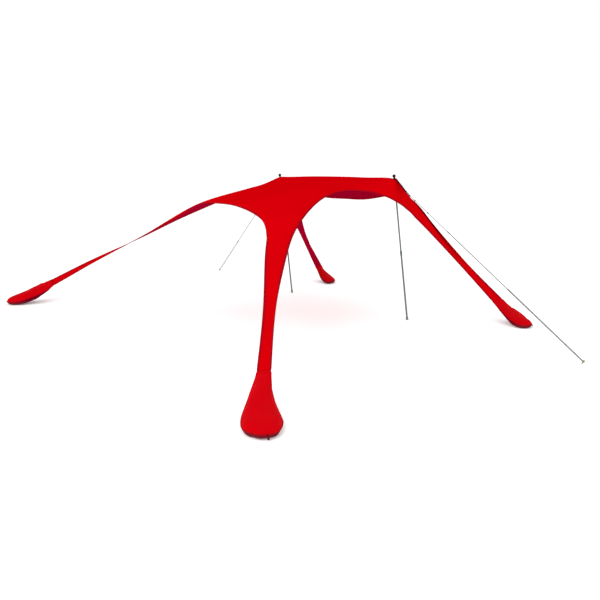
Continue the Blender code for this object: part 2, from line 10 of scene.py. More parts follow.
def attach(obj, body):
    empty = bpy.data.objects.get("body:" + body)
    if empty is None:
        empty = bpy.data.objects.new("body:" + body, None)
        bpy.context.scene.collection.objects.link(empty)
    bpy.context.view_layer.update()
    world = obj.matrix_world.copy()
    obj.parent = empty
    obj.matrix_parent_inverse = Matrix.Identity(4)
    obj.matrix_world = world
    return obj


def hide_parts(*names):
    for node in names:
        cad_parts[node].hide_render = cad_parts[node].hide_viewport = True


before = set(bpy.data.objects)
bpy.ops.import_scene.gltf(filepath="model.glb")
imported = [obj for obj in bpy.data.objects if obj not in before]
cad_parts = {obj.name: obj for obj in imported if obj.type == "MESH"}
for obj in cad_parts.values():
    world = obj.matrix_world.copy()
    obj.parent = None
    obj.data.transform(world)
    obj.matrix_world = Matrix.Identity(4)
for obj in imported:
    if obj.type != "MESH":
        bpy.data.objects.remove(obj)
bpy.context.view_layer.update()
scene = bpy.context.scene
sides = ("left", "right")
arms = ("front_left", "front_right", "rear_left", "rear_right")
shift = np.array([0.030, 0.154, 0.0])   # from the tent's line of symmetry to the frame's origin
lean = 0.009                            # share by which the pitch rises per metre towards the right
upright = np.array([0.0, 0.0, 1.0])
print("frame loaded")


# Small helpers

def unit(v):
    v = np.asarray(v, float)
    return v / np.linalg.norm(v)


def ease(t):
    t = min(1.0, max(0.0, t))
    return t * t * (3 - 2 * t)


def mirrored(points):
    return np.asarray(points, float) * [-1, 1, 1]


def leaned(points):
    places = np.array(points, float)
    places[..., 2] *= 1 + lean * places[..., 0]
    return places


def daylight(colour):
    # a colour as the eye sees it, from 0 to 1, in the renderer's linear values
    return [c / 12.92 if c <= 0.04045 else ((c + 0.055) / 1.055) ** 2.4 for c in colour] + [1.0]


def distances(path):
    return np.concatenate([[0], np.cumsum(np.linalg.norm(np.diff(path, axis=0), axis=1))])


def even(curve, steps):
    curve = np.asarray(curve, float)
    s = distances(curve[:, :3])
    at = np.linspace(0, s[-1], steps + 1)
    return np.array([[np.interp(x, s, curve[:, c]) for c in range(curve.shape[1])] for x in at])


def throughPoints(points, steps=400):
    # natural cubic curve through the points, with its own and the points' distances along it
    p = np.asarray(points, float)
    s = distances(p)
    h = np.diff(s)
    last = len(p) - 1
    a = np.eye(last + 1)
    b = np.zeros((last + 1, 3))
    for i in range(1, last):
        a[i, i - 1:i + 2] = h[i - 1], 2 * (h[i - 1] + h[i]), h[i]
        b[i] = 6 * ((p[i + 1] - p[i]) / h[i] - (p[i] - p[i - 1]) / h[i - 1])
    m = np.linalg.solve(a, b)
    t = np.linspace(0, s[-1], steps)
    k = np.clip(np.searchsorted(s, t, side="right") - 1, 0, last - 1)
    u = (s[k + 1] - t)[:, None]
    v = (t - s[k])[:, None]
    g = h[k][:, None]
    curve = (m[k] * u ** 3 + m[k + 1] * v ** 3) / (6 * g)
    curve += (p[k] / g - m[k] * g / 6) * u + (p[k + 1] / g - m[k + 1] * g / 6) * v
    return curve, t, s


def meshOf(name, points, faces, flat=()):
    mesh = bpy.data.meshes.new(name)
    mesh.from_pydata([tuple(p) for p in points], [], [tuple(f) for f in faces])
    if len(flat):
        layer = mesh.uv_layers.new(name="clothMap")
        corners = [place for face in flat for place in face]
        layer.data.foreach_set("uv", np.array(corners, np.float32).ravel())
    mesh.update()
    return mesh


def outward(mesh):
    body = bmesh.new()
    body.from_mesh(mesh)
    bmesh.ops.recalc_face_normals(body, faces=body.faces)
    body.to_mesh(mesh)
    body.free()
    return mesh


def piece(name, mesh, finishes, replaces=(), sharp=50):
    thing = bpy.data.objects.new(name, mesh)
    scene.collection.objects.link(thing)
    mesh.materials.clear()
    for finish in finishes:
        mesh.materials.append(looks[finish])
    mesh.shade_smooth()
    if sharp:
        mesh.set_sharp_from_angle(angle=math.radians(sharp))
    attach(thing, "root")
    if replaces:
        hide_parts(*replaces)
    return thing


def evaluated(thing):
    # plain mesh of an object with its modifiers applied; the object is removed
    mesh = bpy.data.meshes.new_from_object(thing.evaluated_get(bpy.context.evaluated_depsgraph_get()))
    bpy.data.objects.remove(thing, do_unlink=True)
    return mesh


def working(mesh):
    thing = bpy.data.objects.new("work", mesh)
    scene.collection.objects.link(thing)
    return thing


def subdivided(mesh, levels):
    thing = working(mesh)
    finer = thing.modifiers.new("finer", "SUBSURF")
    finer.levels = finer.render_levels = levels
    return evaluated(thing)


def pathWays(path, closed=False):
    path = np.asarray(path, float)
    ways = np.roll(path, -1, axis=0) - np.roll(path, 1, axis=0) if closed else np.gradient(path, axis=0)
    return ways / np.linalg.norm(ways, axis=1)[:, None]


def gridFaces(rows, count, closed=False):
    # squares between rings of points
    faces = []
    for k in range(rows if closed else rows - 1):
        here, following = k * count, (k + 1) % rows * count
        for q in range(count):
            r = (q + 1) % count
            faces.append((here + q, here + r, following + r, following + q))
    return faces


def gridFlat(along, girth):
    # where the corners of those squares lie on the flat cloth
    return [[(along[k], girth[k][q]), (along[k], girth[k][q + 1]),
             (along[k + 1], girth[k + 1][q + 1]), (along[k + 1], girth[k + 1][q])]
            for k in range(len(along) - 1) for q in range(len(girth[k]) - 1)]


def sweep(name, path, across, profile, closed=False):
    # a closed profile of (across, lift) offsets, carried along a path, which may close on itself
    path = np.asarray(path, float)
    count = len(profile)
    girth = distances(np.array(list(profile) + [profile[0]]))
    along = distances(np.concatenate([path, path[:1]]) if closed else path)
    points = []
    for place, way, side in zip(path, pathWays(path, closed), across):
        side = unit(side - way * way.dot(side))
        lift = np.cross(way, side)
        points += [place + side * x + lift * y for x, y in profile]
    faces = gridFaces(len(path), count, closed)
    flat = gridFlat(along, [girth] * len(along))
    if not closed:
        last = len(points) - count
        faces += [tuple(range(count))[::-1], tuple(range(last, last + count))]
        flat += [list(profile)[::-1], list(profile)]
    return outward(meshOf(name, points, faces, flat))


def spun(name, profile, place, axis, steps=36, flutes=0, deep=0.0, ground=None):
    # a profile of (radius, height) turned about an axis, with flutes round its widest part
    axis = np.asarray(axis, float)
    first = unit(np.cross(axis, [0.0, 1.0, 0.0] if abs(axis[1]) < 0.9 else [1.0, 0.0, 0.0]))
    second = np.cross(axis, first)
    widest = max(radius for radius, _ in profile)
    body = bmesh.new()
    rings = []
    for radius, height in profile:
        ring = []
        for k in range(steps):
            turn = 2 * math.pi * k / steps
            cut = deep * (radius / widest) ** 6 * (0.5 + 0.5 * math.cos(flutes * turn))
            out = (first * math.cos(turn) + second * math.sin(turn)) * radius * (1 - cut)
            at = place + axis * height + out
            if ground is not None:
                at[2] = max(ground, at[2])
            ring.append(body.verts.new(at))
        rings.append(ring)
    for ring, following in zip(rings, rings[1:]):
        for k in range(steps):
            r = (k + 1) % steps
            body.faces.new((ring[k], ring[r], following[r], following[k]))
    bmesh.ops.remove_doubles(body, verts=body.verts, dist=0.00004)
    bmesh.ops.recalc_face_normals(body, faces=body.faces)
    mesh = bpy.data.meshes.new(name)
    body.to_mesh(mesh)
    body.free()
    return mesh


# Camera and light

cameraPlan = {"place": (8.44, -5.626, 2.30), "turn": (78.6, 0.0, 53.4), "lens": 43.2}
lightPlan = {"sky": 1.0, "key": 420.0, "keyPlace": (4.0, -9.0, 8.0), "keySize": 7.0,
             "fill": 110.0, "fillPlace": (9.0, 5.0, 6.0), "fillSize": 8.0,
             "floorGlow": 0.15}
white = (1.0, 1.0, 1.0, 1.0)

camera = bpy.data.objects.new("camera", bpy.data.cameras.new("camera"))
scene.collection.objects.link(camera)
camera.location = cameraPlan["place"]
camera.rotation_euler = [math.radians(a) for a in cameraPlan["turn"]]
camera.data.lens = cameraPlan["lens"]
camera.data.clip_end = 200
scene.camera = camera
scene.view_settings.view_transform = "Standard"

world = bpy.data.worlds.new("studio")
scene.world = world
world.use_nodes = True
world.node_tree.nodes["Background"].inputs["Color"].default_value = white
world.node_tree.nodes["Background"].inputs["Strength"].default_value = lightPlan["sky"]


def softbox(name, place, size, power):
    lamp = bpy.data.lights.new(name, "AREA")
    lamp.shape = "DISK"
    lamp.size = size
    lamp.energy = power
    light = bpy.data.objects.new(name, lamp)
    light.location = place
    light.rotation_euler = (Vector((0, 0, 0.8)) - Vector(place)).to_track_quat("-Z", "Y").to_euler()
    scene.collection.objects.link(light)


softbox("keyLight", lightPlan["keyPlace"], lightPlan["keySize"], lightPlan["key"])
softbox("fillLight", lightPlan["fillPlace"], lightPlan["fillSize"], lightPlan["fill"])


# Node helpers

def addNode(tree, kind, settings=(), inputs=()):
    node = tree.nodes.new(kind)
    for name, value in dict(settings).items():
        setattr(node, name, value)
    for name, value in dict(inputs).items():
        if isinstance(value, bpy.types.NodeSocket):
            tree.links.new(value, node.inputs[name])
        else:
            node.inputs[name].default_value = value
    return node


def maths(tree, operation, first, second=0.5):
    return addNode(tree, "ShaderNodeMath", {"operation": operation}, {0: first, 1: second}).outputs[0]


def newTree(name, kind, inputs, outputs):
    tree = bpy.data.node_groups.new(name, kind)
    for label, socketKind, value in inputs:
        socket = tree.interface.new_socket(label, in_out="INPUT", socket_type="NodeSocket" + socketKind)
        if value is not None:
            socket.default_value = value
    for label, socketKind in outputs:
        tree.interface.new_socket(label, in_out="OUTPUT", socket_type="NodeSocket" + socketKind)
    return tree, tree.nodes.new("NodeGroupInput").outputs, tree.nodes.new("NodeGroupOutput").inputs


def ranged(tree, value, low, high, toLow, toHigh):
    return addNode(tree, "ShaderNodeMapRange", {}, {
        "Value": value, "From Min": low, "From Max": high, "To Min": toLow, "To Max": toHigh}).outputs[0]


def mixed(tree, factor, first, second):
    return addNode(tree, "ShaderNodeMix", {"data_type": "RGBA"}, {0: factor, 6: first, 7: second}).outputs[2]


def scaled(tree, vector, scale):
    return addNode(tree, "ShaderNodeVectorMath", {"operation": "SCALE"},
                   {"Vector": vector, "Scale": scale}).outputs[0]


def parts(tree, vector):
    return addNode(tree, "ShaderNodeSeparateXYZ", {}, {0: vector}).outputs


def wave(tree, turns):
    return maths(tree, "SINE", maths(tree, "MULTIPLY", turns, 2 * math.pi))


def objectPlace(tree):
    return addNode(tree, "ShaderNodeTexCoord").outputs["Object"]


def noise(tree, where, scale, detail, rough=0.5):
    return addNode(tree, "ShaderNodeTexNoise", {}, {
        "Vector": where, "Scale": scale, "Detail": detail, "Roughness": rough}).outputs[0]


def toned(tree, value, colour):
    return addNode(tree, "ShaderNodeHueSaturation", {}, {"Value": value, "Color": colour}).outputs[0]


# Effects that several materials share

plain = (0.5, 0.5, 0.5, 1.0)


def knitPattern(tree, across, along):
    # columns of slanted loops
    wale = maths(tree, "PINGPONG", across, 0.5)
    loops = wave(tree, maths(tree, "ADD", along, wale))
    return maths(tree, "MULTIPLY", maths(tree, "ADD", loops, wave(tree, wale)), 0.25)


def weavePattern(tree, across, along):
    # warp and weft threads that cross over and under
    return maths(tree, "MULTIPLY", maths(tree, "MULTIPLY", wave(tree, across), wave(tree, along)), 0.5)


def threadEffect(name, pattern, darkest, lightest):
    # height of threads, from a place in metres on the cloth, and painted shade: darker low, lighter crests
    tree, given, out = newTree(name, "ShaderNodeTree", [
        ("Place", "Vector", (0, 0, 0)), ("Threads", "Float", 400.0)],
        [("Height", "Float"), ("Shade", "Float")])
    across, along, _ = parts(tree, scaled(tree, given["Place"], given["Threads"]))
    height = maths(tree, "ADD", pattern(tree, across, along), 0.5)
    tree.links.new(height, out["Height"])
    tree.links.new(ranged(tree, height, 0.0, 1.0, darkest, lightest), out["Shade"])
    return tree


def driftEffect():
    # slow changes of tone over the surface
    tree, given, out = newTree("drift", "ShaderNodeTree", [
        ("Colour", "Color", plain), ("Scale", "Float", 3.0), ("Strength", "Float", 0.2)],
        [("Colour", "Color")])
    cloud = noise(tree, objectPlace(tree), given["Scale"], 4.0)
    change = maths(tree, "MULTIPLY", maths(tree, "SUBTRACT", cloud, 0.5), given["Strength"])
    tree.links.new(toned(tree, maths(tree, "ADD", change, 1.0), given["Colour"]), out["Colour"])
    return tree


def dustEffect():
    # sand and dust that clings near the ground
    tree, given, out = newTree("dust", "ShaderNodeTree", [
        ("Colour", "Color", plain), ("Dust", "Color", plain), ("Reach", "Float", 0.05),
        ("Amount", "Float", 0.1)],
        [("Colour", "Color")])
    where = objectPlace(tree)
    near = maths(tree, "SUBTRACT", 1.0, maths(tree, "DIVIDE", parts(tree, where)[2], given["Reach"]))
    mask = maths(tree, "MULTIPLY", maths(tree, "MAXIMUM", near, 0.0), noise(tree, where, 38.0, 6.0))
    mask = maths(tree, "MULTIPLY", mask, given["Amount"])
    tree.links.new(mixed(tree, mask, given["Colour"], given["Dust"]), out["Colour"])
    return tree


def wearEffect():
    # rubbed patches, lighter and rougher than the rest
    tree, given, out = newTree("wear", "ShaderNodeTree", [
        ("Colour", "Color", plain), ("Worn", "Color", plain), ("Scale", "Float", 40.0),
        ("Amount", "Float", 0.4)],
        [("Colour", "Color"), ("Mask", "Float")])
    spots = noise(tree, objectPlace(tree), given["Scale"], 6.0, 0.65)
    mask = maths(tree, "MULTIPLY", ranged(tree, spots, 0.54, 0.66, 0.0, 1.0), given["Amount"])
    tree.links.new(mixed(tree, mask, given["Colour"], given["Worn"]), out["Colour"])
    tree.links.new(mask, out["Mask"])
    return tree


def brushEffect():
    # fine lines drawn along the height of a pole
    tree, given, out = newTree("brush", "ShaderNodeTree", [
        ("Fine", "Vector", (420.0, 420.0, 7.0)), ("Middle", "Float", 0.34), ("Range", "Float", 0.16)],
        [("Height", "Float"), ("Roughness", "Float")])
    drawn = addNode(tree, "ShaderNodeVectorMath", {"operation": "MULTIPLY"},
                    {0: objectPlace(tree), 1: given["Fine"]}).outputs[0]
    lines = noise(tree, drawn, 1.0, 3.0)
    change = maths(tree, "MULTIPLY", maths(tree, "SUBTRACT", lines, 0.5), given["Range"])
    tree.links.new(lines, out["Height"])
    tree.links.new(maths(tree, "ADD", change, given["Middle"]), out["Roughness"])
    return tree


effects = {"knit": threadEffect("knit", knitPattern, 0.90, 1.03),
           "weave": threadEffect("weave", weavePattern, 0.80, 1.08),
           "drift": driftEffect(), "dust": dustEffect(), "wear": wearEffect(), "brush": brushEffect()}


# Materials

dustColour = daylight((0.78, 0.70, 0.58))


def shaderOf(name, look):
    material = bpy.data.materials.new(name)
    material.use_nodes = True
    shader = material.node_tree.nodes["Principled BSDF"]
    shader.inputs["Roughness"].default_value = look["rough"]
    shader.inputs["Metallic"].default_value = look.get("metal", 0.0)
    shader.inputs["Specular IOR Level"].default_value = look.get("specular", 0.5)
    if look.get("sheen"):
        shader.inputs["Sheen Weight"].default_value = look["sheen"]
        shader.inputs["Sheen Roughness"].default_value = 0.4
        shader.inputs["Sheen Tint"].default_value = daylight(look["colour"])
    return material, material.node_tree, shader


def effect(tree, name, inputs):
    return addNode(tree, "ShaderNodeGroup", {"node_tree": effects[name]}, inputs).outputs


def raised(tree, shader, height, strength, distance):
    bump = addNode(tree, "ShaderNodeBump", {}, {"Height": height, "Strength": strength, "Distance": distance})
    tree.links.new(bump.outputs[0], shader.inputs["Normal"])


def dusted(tree, colour, reach, amount):
    return effect(tree, "dust", {"Colour": colour, "Dust": dustColour, "Reach": reach,
                                 "Amount": amount})["Colour"]


def drifted(tree, look, scale):
    return effect(tree, "drift", {"Colour": daylight(look["colour"]), "Scale": scale,
                                  "Strength": look["drift"]})["Colour"]


def worn(tree, look, scale):
    return effect(tree, "wear", {"Colour": daylight(look["colour"]), "Worn": daylight(look["worn"]),
                                 "Scale": scale, "Amount": look["amount"]})


def clothMaterial(name, look):
    # knitted or woven cloth that follows the piece's own flat map
    material, tree, shader = shaderOf(name, look)
    if look.get("loose"):
        place = objectPlace(tree)
    else:
        place = addNode(tree, "ShaderNodeUVMap", {"uv_map": "clothMap"}).outputs[0]
    threads = effect(tree, look["make"], {"Place": place, "Threads": look["fine"]})
    dusty = dusted(tree, drifted(tree, look, look["cloud"]), 0.06, look["dust"])
    # the base colour is darkened in the threads' low parts as painted shade
    tree.links.new(toned(tree, threads["Shade"], dusty), shader.inputs["Base Color"])
    raised(tree, shader, threads["Height"], look["bump"], 0.0006)
    return material


def metalMaterial(name, look):
    material, tree, shader = shaderOf(name, look)
    lines = effect(tree, "brush", {"Fine": look["fine"], "Middle": look["rough"], "Range": look["range"]})
    spots = worn(tree, look, 60.0)
    tree.links.new(dusted(tree, spots["Colour"], 0.10, 0.35), shader.inputs["Base Color"])
    rougher = maths(tree, "MULTIPLY", spots["Mask"], 0.18)
    tree.links.new(maths(tree, "ADD", lines["Roughness"], rougher), shader.inputs["Roughness"])
    raised(tree, shader, lines["Height"], 0.12, 0.0004)
    return material


def mouldedMaterial(name, look):
    # plastic or rubber with a fine moulded grain and scuffs
    material, tree, shader = shaderOf(name, look)
    grain = noise(tree, objectPlace(tree), look["fine"], 3.0)
    tree.links.new(dusted(tree, worn(tree, look, 90.0)["Colour"], 0.05, 0.2), shader.inputs["Base Color"])
    tree.links.new(ranged(tree, grain, 0.3, 0.7, look["rough"] - 0.06, look["rough"] + 0.08),
                   shader.inputs["Roughness"])
    raised(tree, shader, grain, 0.25, 0.0005)
    return material


def threadMaterial(name, look):
    # twisted yarn, with the fibres' own small changes of tone
    material, tree, shader = shaderOf(name, look)
    fibres = noise(tree, objectPlace(tree), look["fine"], 4.0)
    shade = ranged(tree, fibres, 0.3, 0.7, 0.86, 1.10)
    tree.links.new(toned(tree, shade, drifted(tree, look, 12.0)), shader.inputs["Base Color"])
    raised(tree, shader, fibres, 0.35, 0.0006)
    return material


clothPlan = {
    "redKnit": {"colour": (0.76, 0.0, 0.03), "rough": 0.62, "specular": 0.0, "sheen": 0.03, "make": "knit",
                "fine": 420.0, "cloud": 1.3, "drift": 0.26, "dust": 0.0, "bump": 0.30},
    # the canopy's underside: a darker, more purple copy of the knit, as painted shade
    "redKnitUnderPaintedShade": {"colour": (0.61, 0.0, 0.15), "rough": 0.70, "specular": 0.0, "make": "knit",
                     "fine": 420.0, "cloud": 1.3, "drift": 0.26, "dust": 0.0, "bump": 0.30},
    "bagKnit": {"colour": (0.74, 0.0, 0.04), "rough": 0.66, "specular": 0.01, "sheen": 0.03, "make": "knit",
                "fine": 420.0, "cloud": 5.0, "drift": 0.30, "dust": 0.08, "bump": 0.35},
    # the lower half of each bag: a darker cloth colour as painted shade, with real dust near the ground
    "bagLowerPaintedShade": {"colour": (0.43, 0.0, 0.11), "rough": 0.78, "specular": 0.02, "make": "weave",
                "fine": 360.0, "cloud": 8.0, "drift": 0.35, "dust": 0.10, "bump": 0.45},
    "hemTape": {"colour": (0.60, 0.0, 0.07), "rough": 0.75, "specular": 0.02, "make": "weave",
                "fine": 520.0, "cloud": 9.0, "drift": 0.25, "dust": 0.20, "bump": 0.40},
    "darkWebbing": {"colour": (0.34, 0.0, 0.08), "rough": 0.80, "specular": 0.03, "make": "weave",
                    "fine": 420.0, "cloud": 20.0, "drift": 0.30, "dust": 0.10, "bump": 0.60},
    "patchCloth": {"colour": (0.55, 0.0, 0.06), "rough": 0.70, "specular": 0.05, "make": "weave",
                   "fine": 480.0, "cloud": 30.0, "drift": 0.25, "dust": 0.0, "bump": 0.50, "loose": True},
}
metalPlan = {
    "satinAlloy": {"colour": (0.40, 0.44, 0.43), "worn": (0.30, 0.33, 0.32), "rough": 0.36, "metal": 1.0,
                   "fine": (420.0, 420.0, 7.0), "range": 0.30, "amount": 0.35},
    "sleeveAlloy": {"colour": (0.37, 0.41, 0.40), "worn": (0.28, 0.31, 0.30), "rough": 0.42, "metal": 1.0,
                    "fine": (420.0, 420.0, 7.0), "range": 0.30, "amount": 0.45},
    "ringSteel": {"colour": (0.22, 0.20, 0.20), "worn": (0.36, 0.34, 0.34), "rough": 0.36, "metal": 1.0,
                  "fine": (300.0, 300.0, 300.0), "range": 0.24, "amount": 0.40},
    "stakeSteel": {"colour": (0.60, 0.59, 0.48), "worn": (0.42, 0.36, 0.27), "rough": 0.45, "metal": 0.6,
                   "fine": (300.0, 300.0, 60.0), "range": 0.30, "amount": 0.60},
}
mouldedPlan = {
    "footRubber": {"colour": (0.40, 0.42, 0.42), "worn": (0.52, 0.53, 0.52), "rough": 0.80, "specular": 0.2,
                   "fine": 900.0, "amount": 0.35},
    "knobPlastic": {"colour": (0.22, 0.01, 0.03), "worn": (0.34, 0.06, 0.08), "rough": 0.50,
                    "specular": 0.15, "fine": 1400.0, "amount": 0.25},
    "runnerPlastic": {"colour": (0.22, 0.22, 0.23), "worn": (0.38, 0.38, 0.38), "rough": 0.50,
                      "specular": 0.3, "fine": 1200.0, "amount": 0.35},
}
cordLook = {"rough": 0.75, "specular": 0.05, "fine": 1500.0, "drift": 0.35}
threadLook = {"rough": 0.60, "specular": 0.15, "fine": 2500.0, "drift": 0.20}
threadPlan = {
    "guyRope": {**cordLook, "colour": (0.32, 0.35, 0.34)},
    "guyRopeDark": {**cordLook, "colour": (0.21, 0.28, 0.26)},
    "keeperCord": {**cordLook, "colour": (0.27, 0.0, 0.07), "rough": 0.78, "specular": 0.03, "drift": 0.30},
    "hemThread": {**threadLook, "colour": (0.70, 0.02, 0.12)},
    "bagThread": {**threadLook, "colour": (0.66, 0.0, 0.04)},
    "strapThread": {**threadLook, "colour": (0.16, 0.03, 0.04)},
}
looks = {}
for make, plan in ((clothMaterial, clothPlan), (metalMaterial, metalPlan), (mouldedMaterial, mouldedPlan),
                   (threadMaterial, threadPlan)):
    looks.update({name: make(name, look) for name, look in plan.items()})

floorPaint, _, floorShader = shaderOf("floorPaint", {"rough": 0.95, "specular": 0.0})
floorShader.inputs["Base Color"].default_value = white
floorShader.inputs["Emission Color"].default_value = white
floorShader.inputs["Emission Strength"].default_value = lightPlan["floorGlow"]
floorCorners = [(-60, -60, 0), (60, -60, 0), (60, 60, 0), (-60, 60, 0)]
floor = bpy.data.objects.new("floor", meshOf("floor", floorCorners, [(0, 1, 2, 3)]))
floor.data.materials.append(floorPaint)
scene.collection.objects.link(floor)
print("camera, light and materials made")


# Geometry Nodes trees: stitches and twisted rope along paths

def dyedEnd(tree, geometry, given, out):
    real = addNode(tree, "GeometryNodeRealizeInstances", {}, {"Geometry": geometry}).outputs[0]
    dyed = addNode(tree, "GeometryNodeSetMaterial", {}, {"Geometry": real, "Material": given["Material"]})
    tree.links.new(dyed.outputs[0], out["Geometry"])
    return tree


def stitchTree():
    tree, given, out = newTree("stitches", "GeometryNodeTree", [
        ("Geometry", "Geometry", None), ("Spacing", "Float", 0.0075), ("Long", "Float", 0.0052),
        ("Thread", "Float", 0.0011), ("Seed", "Int", 7), ("Material", "Material", None)],
        [("Geometry", "Geometry")])
    curve = addNode(tree, "GeometryNodeMeshToCurve", {}, {"Mesh": given["Geometry"]}).outputs[0]
    marks = addNode(tree, "GeometryNodeCurveToPoints", {"mode": "LENGTH"},
                    {"Curve": curve, "Length": given["Spacing"]}).outputs
    thread = addNode(tree, "GeometryNodeMeshUVSphere", {}, {"Segments": 6, "Rings": 4, "Radius": 0.5})
    vary = addNode(tree, "FunctionNodeRandomValue", {"data_type": "FLOAT"},
                   {2: 0.88, 3: 1.06, "Seed": given["Seed"]}).outputs[1]
    size = addNode(tree, "ShaderNodeCombineXYZ", {}, {
        0: given["Thread"], 1: given["Thread"], 2: maths(tree, "MULTIPLY", given["Long"], vary)}).outputs[0]
    sewn = addNode(tree, "GeometryNodeInstanceOnPoints", {}, {
        "Points": marks["Points"], "Instance": thread.outputs[0], "Rotation": marks["Rotation"],
        "Scale": size})
    return dyedEnd(tree, sewn.outputs[0], given, out)


def ropeTree(strands=3):
    tree, given, out = newTree("rope", "GeometryNodeTree", [
        ("Geometry", "Geometry", None), ("Radius", "Float", 0.003), ("Pitch", "Float", 0.022),
        ("Material", "Material", None)], [("Geometry", "Geometry")])
    curve = addNode(tree, "GeometryNodeMeshToCurve", {}, {"Mesh": given["Geometry"]}).outputs[0]
    fine = addNode(tree, "GeometryNodeResampleCurve", {"mode": "LENGTH"},
                   {"Curve": curve, "Length": maths(tree, "DIVIDE", given["Pitch"], 8.0)}).outputs[0]
    along = addNode(tree, "GeometryNodeSplineParameter").outputs["Length"]
    turn = maths(tree, "MULTIPLY", maths(tree, "DIVIDE", along, given["Pitch"]), 2 * math.pi)
    normal = addNode(tree, "GeometryNodeInputNormal").outputs[0]
    tangent = addNode(tree, "GeometryNodeInputTangent").outputs[0]
    across = addNode(tree, "ShaderNodeVectorMath", {"operation": "CROSS_PRODUCT"},
                     {0: tangent, 1: normal}).outputs[0]
    ring = maths(tree, "MULTIPLY", given["Radius"], 0.53)
    section = addNode(tree, "GeometryNodeCurvePrimitiveCircle", {}, {
        "Resolution": 6, "Radius": maths(tree, "MULTIPLY", given["Radius"], 0.50)}).outputs[0]
    joined = addNode(tree, "GeometryNodeJoinGeometry")
    for k in range(strands):
        angle = maths(tree, "ADD", turn, 2 * math.pi * k / strands)
        shares = [scaled(tree, way, maths(tree, "MULTIPLY", maths(tree, operation, angle), ring))
                  for way, operation in ((normal, "COSINE"), (across, "SINE"))]
        offset = addNode(tree, "ShaderNodeVectorMath", {"operation": "ADD"}, {0: shares[0], 1: shares[1]})
        strand = addNode(tree, "GeometryNodeSetPosition", {}, {"Geometry": fine, "Offset": offset.outputs[0]})
        skin = addNode(tree, "GeometryNodeCurveToMesh", {}, {
            "Curve": strand.outputs[0], "Profile Curve": section, "Fill Caps": True}).outputs[0]
        tree.links.new(skin, joined.inputs[0])
    return dyedEnd(tree, joined.outputs[0], given, out)


stitches = stitchTree()
rope = ropeTree()
stitchPlan = {
    "hem": {"Spacing": 0.0090, "Long": 0.0062, "Thread": 0.0013, "slot": "webbing", "look": "hemThread"},
    "bag": {"Spacing": 0.0080, "Long": 0.0056, "Thread": 0.0012, "slot": "bag_fabric", "look": "bagThread"},
    "tip": {"Spacing": 0.0052, "Long": 0.0036, "Thread": 0.0009, "slot": "patch_fabric",
            "look": "strapThread"},
    "strap": {"Spacing": 0.0042, "Long": 0.0031, "Thread": 0.0009, "slot": "webbing", "look": "strapThread"},
}
ropePlan = {
    "keeper": {"Radius": 0.0046, "Pitch": 0.020, "slot": "webbing", "look": "keeperCord"},
    "top": {"Radius": 0.0036, "Pitch": 0.019, "slot": "guy_cord", "look": "guyRope"},
    "main": {"Radius": 0.0050, "Pitch": 0.022, "slot": "guy_cord", "look": "guyRopeDark"},
    "knot": {"Radius": 0.0034, "Pitch": 0.019, "slot": "guy_cord", "look": "guyRopeDark"},
    "loop": {"Radius": 0.0042, "Pitch": 0.017, "slot": "guy_cord", "look": "guyRopeDark"},
}


def grown(name, paths, tree, plan, replaces=()):
    # a piece that a tree grows along paths, each a list of points and whether it is closed
    points, edges = [], []
    for path, closed in paths:
        first = len(points)
        points += [tuple(p) for p in path]
        edges += [(k, k + 1) for k in range(first, len(points) - 1)]
        if closed:
            edges.append((len(points) - 1, first))
    mesh = bpy.data.meshes.new(name)
    mesh.from_pydata(points, edges, [])
    thing = working(mesh)
    modifier = thing.modifiers.new("grow", "NODES")
    modifier.node_group = tree
    values = {**plan, "Material": looks[plan["look"]]}
    for item in tree.interface.items_tree:
        if item.in_out == "INPUT" and item.name in values:
            modifier[item.identifier] = values[item.name]
    made = evaluated(thing)
    made.polygons.foreach_set("material_index", np.zeros(len(made.polygons), np.int32))
    return piece(name, outward(made), [plan["look"]], replaces)


# The canopy: one stretched sheet. Its hems run through the points of the plan, mirrored for the left,
# where the side hem rises and the front hem drops a little.

sheetPlan = {
    "tip": (1.33, 1.05, 1.955),
    "frontHem": [(0.00, -0.86, 1.66), (0.50, -0.89, 1.64), (1.05, -0.87, 1.48),
                 (1.47, -1.12, 1.25), (2.22, -1.66, 0.77), (2.95, -2.235, 0.283)],
    "sideHem": [(3.112, -2.178, 0.317), (2.35, -1.58, 0.79), (1.88, -1.15, 1.06), (1.50, -0.76, 1.32),
                (1.18, -0.29, 1.57), (1.04, 0.37, 1.83), (1.46, 0.94, 1.72), (1.55, 1.30, 1.43),
                (1.77, 1.84, 0.85), (2.04, 2.34, 0.26)],
    "rearHem": [(0.00, 1.30, 1.65), (0.60, 1.33, 1.67), (1.12, 1.50, 1.71),
                (1.42, 1.52, 1.52), (1.75, 1.85, 0.98), (2.08, 2.51, 0.28)],
    "leftSideRise": [0.033, 0.015, 0.020, 0.020, 0.015, 0.0, 0.0, 0.0, 0.0, 0.0],
    "leftFrontDrop": [0.0, 0.0, 0.015, 0.020, 0.0, 0.020],
    "leftRearTuck": [0.0, 0.0, 0.0, 0.030, 0.012, 0.0],
    "rightSideDrop": [0.0, 0.0, 0.0, 0.0, 0.0, 0.020, 0.038, 0.018, 0.0, 0.0],
    "sideCorner": 5,                    # side hem point that is a corner of the middle square
    "ridgeEnd": 1.955, "ridgeCrown": 0.027, "ridgeWide": 0.10,
    "ridgePull": 4.0, "ridgePast": 0.03, "planTension": 0.35, "heightTension": 0.25,
    "crestHigh": 0.10, "crestRow": 3, "crestReach": 8,
    "square": 12, "arm": 18,            # squares across the middle, and along an arm
    "eyes": {"left": (2, 17), "right": (17, 2)},
    "seatRings": (0.042, 0.031, 0.018, 0.0075),
    "thick": 0.0028,
    "cut": (5.0, 4.2),                  # flat rectangle that the star was cut from
    "stretch": 1.12,                    # how far its area is stretched when it is pitched
}
polePlan = {"foot": {"left": (-1.35, 1.30), "right": (1.30, 1.40)}, "jointAt": 0.49}


def levelTip(side):
    return np.array(sheetPlan["tip"]) if side == "right" else mirrored(sheetPlan["tip"])


def tipOf(side):
    return leaned(levelTip(side))


def poleAxis(side):
    return unit(tipOf(side) - [*polePlan["foot"][side], 0.0])


